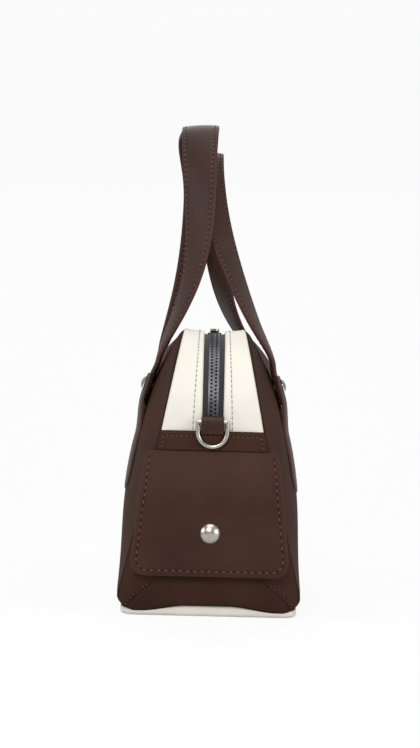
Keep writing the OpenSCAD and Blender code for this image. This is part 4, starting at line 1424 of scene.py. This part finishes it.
def tab(leg_x, side, bow):
    """Points and quads of one tab, and its row of stitches."""
    stand = tab_stand(z, bow)
    under = (stand - TAB_T) * smooth(z, STRAP_LOW - 2 * MM, STRAP_LOW + 3 * MM) + 0.1 * MM
    back = np.minimum(under, stand - shaping - 0.2 * MM)
    points, quads = sandwich(tab_points(offset, z, leg_x, side, stand - shaping),
                             tab_points(offset, z, leg_x, side, back))
    seam_offset, seam_z = tab_seam()
    lift = tab_stand(seam_z, bow) - 0.3 * MM
    path = tab_points(seam_offset, seam_z, leg_x, side, lift)
    outward = np.tile([0.0, side, 0.25], (len(path), 1))
    return (points, quads), stitch_row(path, outward, 3.3 * MM, 2.8 * MM, 0.3 * MM)


for word, side, shape in (("front", -1, FRONT_STRAP), ("rear", 1, REAR_STRAP)):
    made = [tab(leg_x, side, shape["bow"]) for leg_x in (-LEG_X, LEG_X)]
    points, quads = join_parts([part for part, _ in made])
    tabs = make_piece(word + "_tabs_leather", points, quads, STRAP, "bag",
                      np.tile(tone.ravel(), 4))
    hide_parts(word + "_handle_tabs")
    sew(word + "_tab_stitches", [row for _, row in made], "bag")
print("tabs from", round(TAB_LOW, 4), "to", round(TAB_TOP, 4))

# %% [markdown]
# Inside hangs the lining, a cloth bag that is open under the zip, with a slip pocket on its
# rear. It could be simulated cloth, but hardly any of it shows. Both are grids like the base:
# rings of a square lie on the floor and then climb the walls, with a few wrinkles from a
# sine.

# %% Lining
LINING_LOW = size_of("lining", 2, 0)
LINING_HIGH = size_of("lining", 2, 1)
LINING_SET = 5.4 * MM
LINING_GAP = 4.2 * MM
LINING_T = 0.7 * MM
FLOOR_RING = 0.4


def inner_x(z, set_in):
    """Half the length inside the outline at a height."""
    radius = CORNER_R - set_in
    over = np.maximum(z - CORNER_Z, 0)
    bent = CORNER_X + np.sqrt(np.maximum(radius ** 2 - over ** 2, 0))
    return np.where(z > CORNER_Z, bent, HALF_LEN - set_in)


def lining_grid(set_in):
    """The lining set in by a distance: the floor in the inner rings, then the walls."""
    ring, a, b = square_rings(121)
    climb = np.clip((ring - FLOOR_RING) / (1 - FLOOR_RING), 0, 1)
    z = LINING_LOW + set_in + (LINING_HIGH - LINING_LOW - set_in) * climb
    box_x, box_y = rounded_box(a, b, 1.0, 1.0, 0.12)
    x = box_x * inner_x(z, LINING_SET + set_in)
    depth = side_half(np.minimum(np.abs(x), HALF_LEN), z) - LINING_GAP - set_in
    y = box_y * np.maximum(depth, 6 * MM)
    flat = np.clip(ring / FLOOR_RING, 0, 1)
    wrinkle = 0.5 * MM * np.sin(x * 210 + z * 90) * climb * (1 - climb) * 4
    return at(x * flat, y * flat - wrinkle * np.sign(b) * (np.abs(b) > 0.99), z)


lining = plate("lining_cloth", lining_grid(0.0), lining_grid(LINING_T), LINING)
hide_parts("lining")
slip_low, slip_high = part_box("slip_pocket")
across, up = np.meshgrid(spread(41), spread(31, 0.6), indexing="ij")
x = slip_low[0] + (slip_high[0] - slip_low[0]) * across
z = slip_low[2] + (slip_high[2] - slip_low[2]) * up
slack = 1.2 * MM * np.sin(math.pi * across) * up
slip_outer = at(x, side_half(x, z) - LINING_GAP - LINING_T - 0.3 * MM - slack, z)
slip_inner = slip_outer - np.array([0, 0.6 * MM, 0])
slip = plate("slip_pocket_cloth", slip_outer, slip_inner, LINING)
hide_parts("slip_pocket")
print("lining from", round(LINING_LOW, 4), "to", round(LINING_HIGH, 4))

# %% [markdown]
# Metal, zip and board are right in the solids. They could be modelled again, and nothing
# would be gained. They only need a finish, which is chosen by the record's slot that each
# already carries.

# %% Dress the solids that stay

SLOT_FINISH = {"brown_leather": BROWN, "strap_leather": STRAP, "ivory_leather": IVORY,
               "lining": LINING, "board": BOARD, "zip_tape": TAPE, "zip_teeth": TEETH,
               "nickel": NICKEL}


def dress_solids():
    """Swaps each solid's plain material for the finish of the same slot."""
    for solid in frame["nodes"].values():
        for place, old in enumerate(solid.data.materials):
            name = old.name.split(".")[0] if old else "nickel"
            solid.data.materials[place] = SLOT_FINISH.get(name, NICKEL)


print({o.data.materials[0].name for o in frame["nodes"].values()})
dress_solids()

# %% [markdown]
# The floor and the wall behind are one sheet, as in a product photograph. A flat plane would
# show a horizon. Its own colour is a pale grey that takes the shadow, and the camera sees it
# washed towards white.

# %% Floor and backdrop
WHITE = (1.0, 1.0, 1.0, 1.0)
SHEET_START = -4.6
SHEET_RUN = 9.4
SHEET_WIDTH = 12
SHEET_R = 0.8
WALL_FOOT = -0.9


def sheet_points(across, along):
    """A floor that turns up into a wall on a quarter circle: flat, arc, straight."""
    run = along * SHEET_RUN + SHEET_START
    turn = np.clip(run / SHEET_R, 0, math.pi / 2)
    rest = np.maximum(run - SHEET_R * math.pi / 2, 0)
    depth = np.where(run < 0, run, SHEET_R * np.sin(turn))
    height = SHEET_R * (1 - np.cos(turn)) + rest
    return at(WALL_FOOT - depth, (across - 0.5) * SHEET_WIDTH, height)


def backdrop_finish():
    """Pale matt paper: diffuse for the light, near white where the camera sees it."""
    paper = Finish("backdrop", Roughness=0.9)
    paper.colour((0.8, 0.8, 0.8, 1.0))
    white = paper.node("Emission", {}, {"Color": WHITE})
    plain = Term(paper, paper.shader.outputs[0])
    washed = paper.node("MixShader", {}, {0: paper.seen() * 0.9, 1: plain, 2: white})
    paper.plug(paper.tree.nodes["Material Output"].inputs[0], washed)
    return paper.material


across, along = np.meshgrid(np.linspace(0, 1, 9), np.linspace(0, 1, 61), indexing="ij")
sheet = sheet_points(across, along)
backdrop = new_object("sweep", sheet.reshape(-1, 3), grid_quads(9, 61), backdrop_finish())
print("backdrop quads", len(backdrop.data.polygons))

# %% [markdown]
# The lamps are large and soft, because small ones would draw hard spots on smooth leather: a
# key and one from each side, as in a light tent, one above and one behind.

# %% Light
MIDDLE = (0.0, 0.0, 0.14)


def soft_lamp(name, place, size, watts):
    """A square area lamp that looks at the middle of the bag."""
    lamp = bpy.data.lights.new(name, "AREA")
    lamp.size = size
    lamp.energy = watts
    made = bpy.data.objects.new(name, lamp)
    made.location = place
    gaze = np.array(MIDDLE) - np.array(place)
    made.rotation_euler = (math.acos(-gaze[2] / np.linalg.norm(gaze)), 0,
                           math.atan2(gaze[1], gaze[0]) - math.pi / 2)
    bpy.context.collection.objects.link(made)


soft_lamp("key_lamp", (1.25, -0.3, 1.05), 0.7, 10.5)
soft_lamp("left_lamp", (0.5, -1.6, 0.75), 0.8, 8)
soft_lamp("right_lamp", (0.9, 1.5, 0.6), 0.8, 12)
soft_lamp("top_lamp", (0.2, 0.0, 1.6), 1.2, 10.5)
soft_lamp("rear_lamp", (-1.2, 0.0, 1.0), 1.0, 6)


def studio_world(strength):
    """Even white light of a low strength. Past the backdrop's rim it is seen as near white,
    by the camera and in glossy and clear things alike."""
    world = bpy.data.worlds.new("studio")
    world.use_nodes = True
    sky = Nodes(world.node_tree)
    dim = sky.node("Background", {}, {"Color": WHITE, "Strength": strength})
    bright = sky.node("Background", {}, {"Color": (0.93, 0.93, 0.93, 1.0)})
    both = sky.node("MixShader", {}, {0: sky.seen(), 1: dim, 2: bright})
    sky.plug(sky.tree.nodes["World Output"].inputs[0], both)
    return world


bpy.context.scene.world = studio_world(0.13)
print("lamps", len(bpy.data.lights))

# %% [markdown]
# The camera looks straight at the narrow end, level with the middle of the bag and its
# handles, from a little over a metre away. The bag leans a little to one side in the picture.
# It could be tilted itself, but then it would no longer stand, so the camera is rolled.

# %% Camera
CAMERA_X = 1.338
CAMERA_Y = -0.0024
CAMERA_Z = 0.147
CAMERA_ROLL = math.radians(-1.4)
LENS = 96.26
camera_data = bpy.data.cameras.new("camera")
camera_data.lens = LENS
camera_data.sensor_fit = "AUTO"
camera = bpy.data.objects.new("camera", camera_data)
camera.location = (CAMERA_X, CAMERA_Y, CAMERA_Z)
camera.rotation_euler = (math.pi / 2, CAMERA_ROLL, math.pi / 2)
bpy.context.collection.objects.link(camera)
bpy.context.scene.camera = camera
bpy.context.scene.view_settings.view_transform = "Standard"
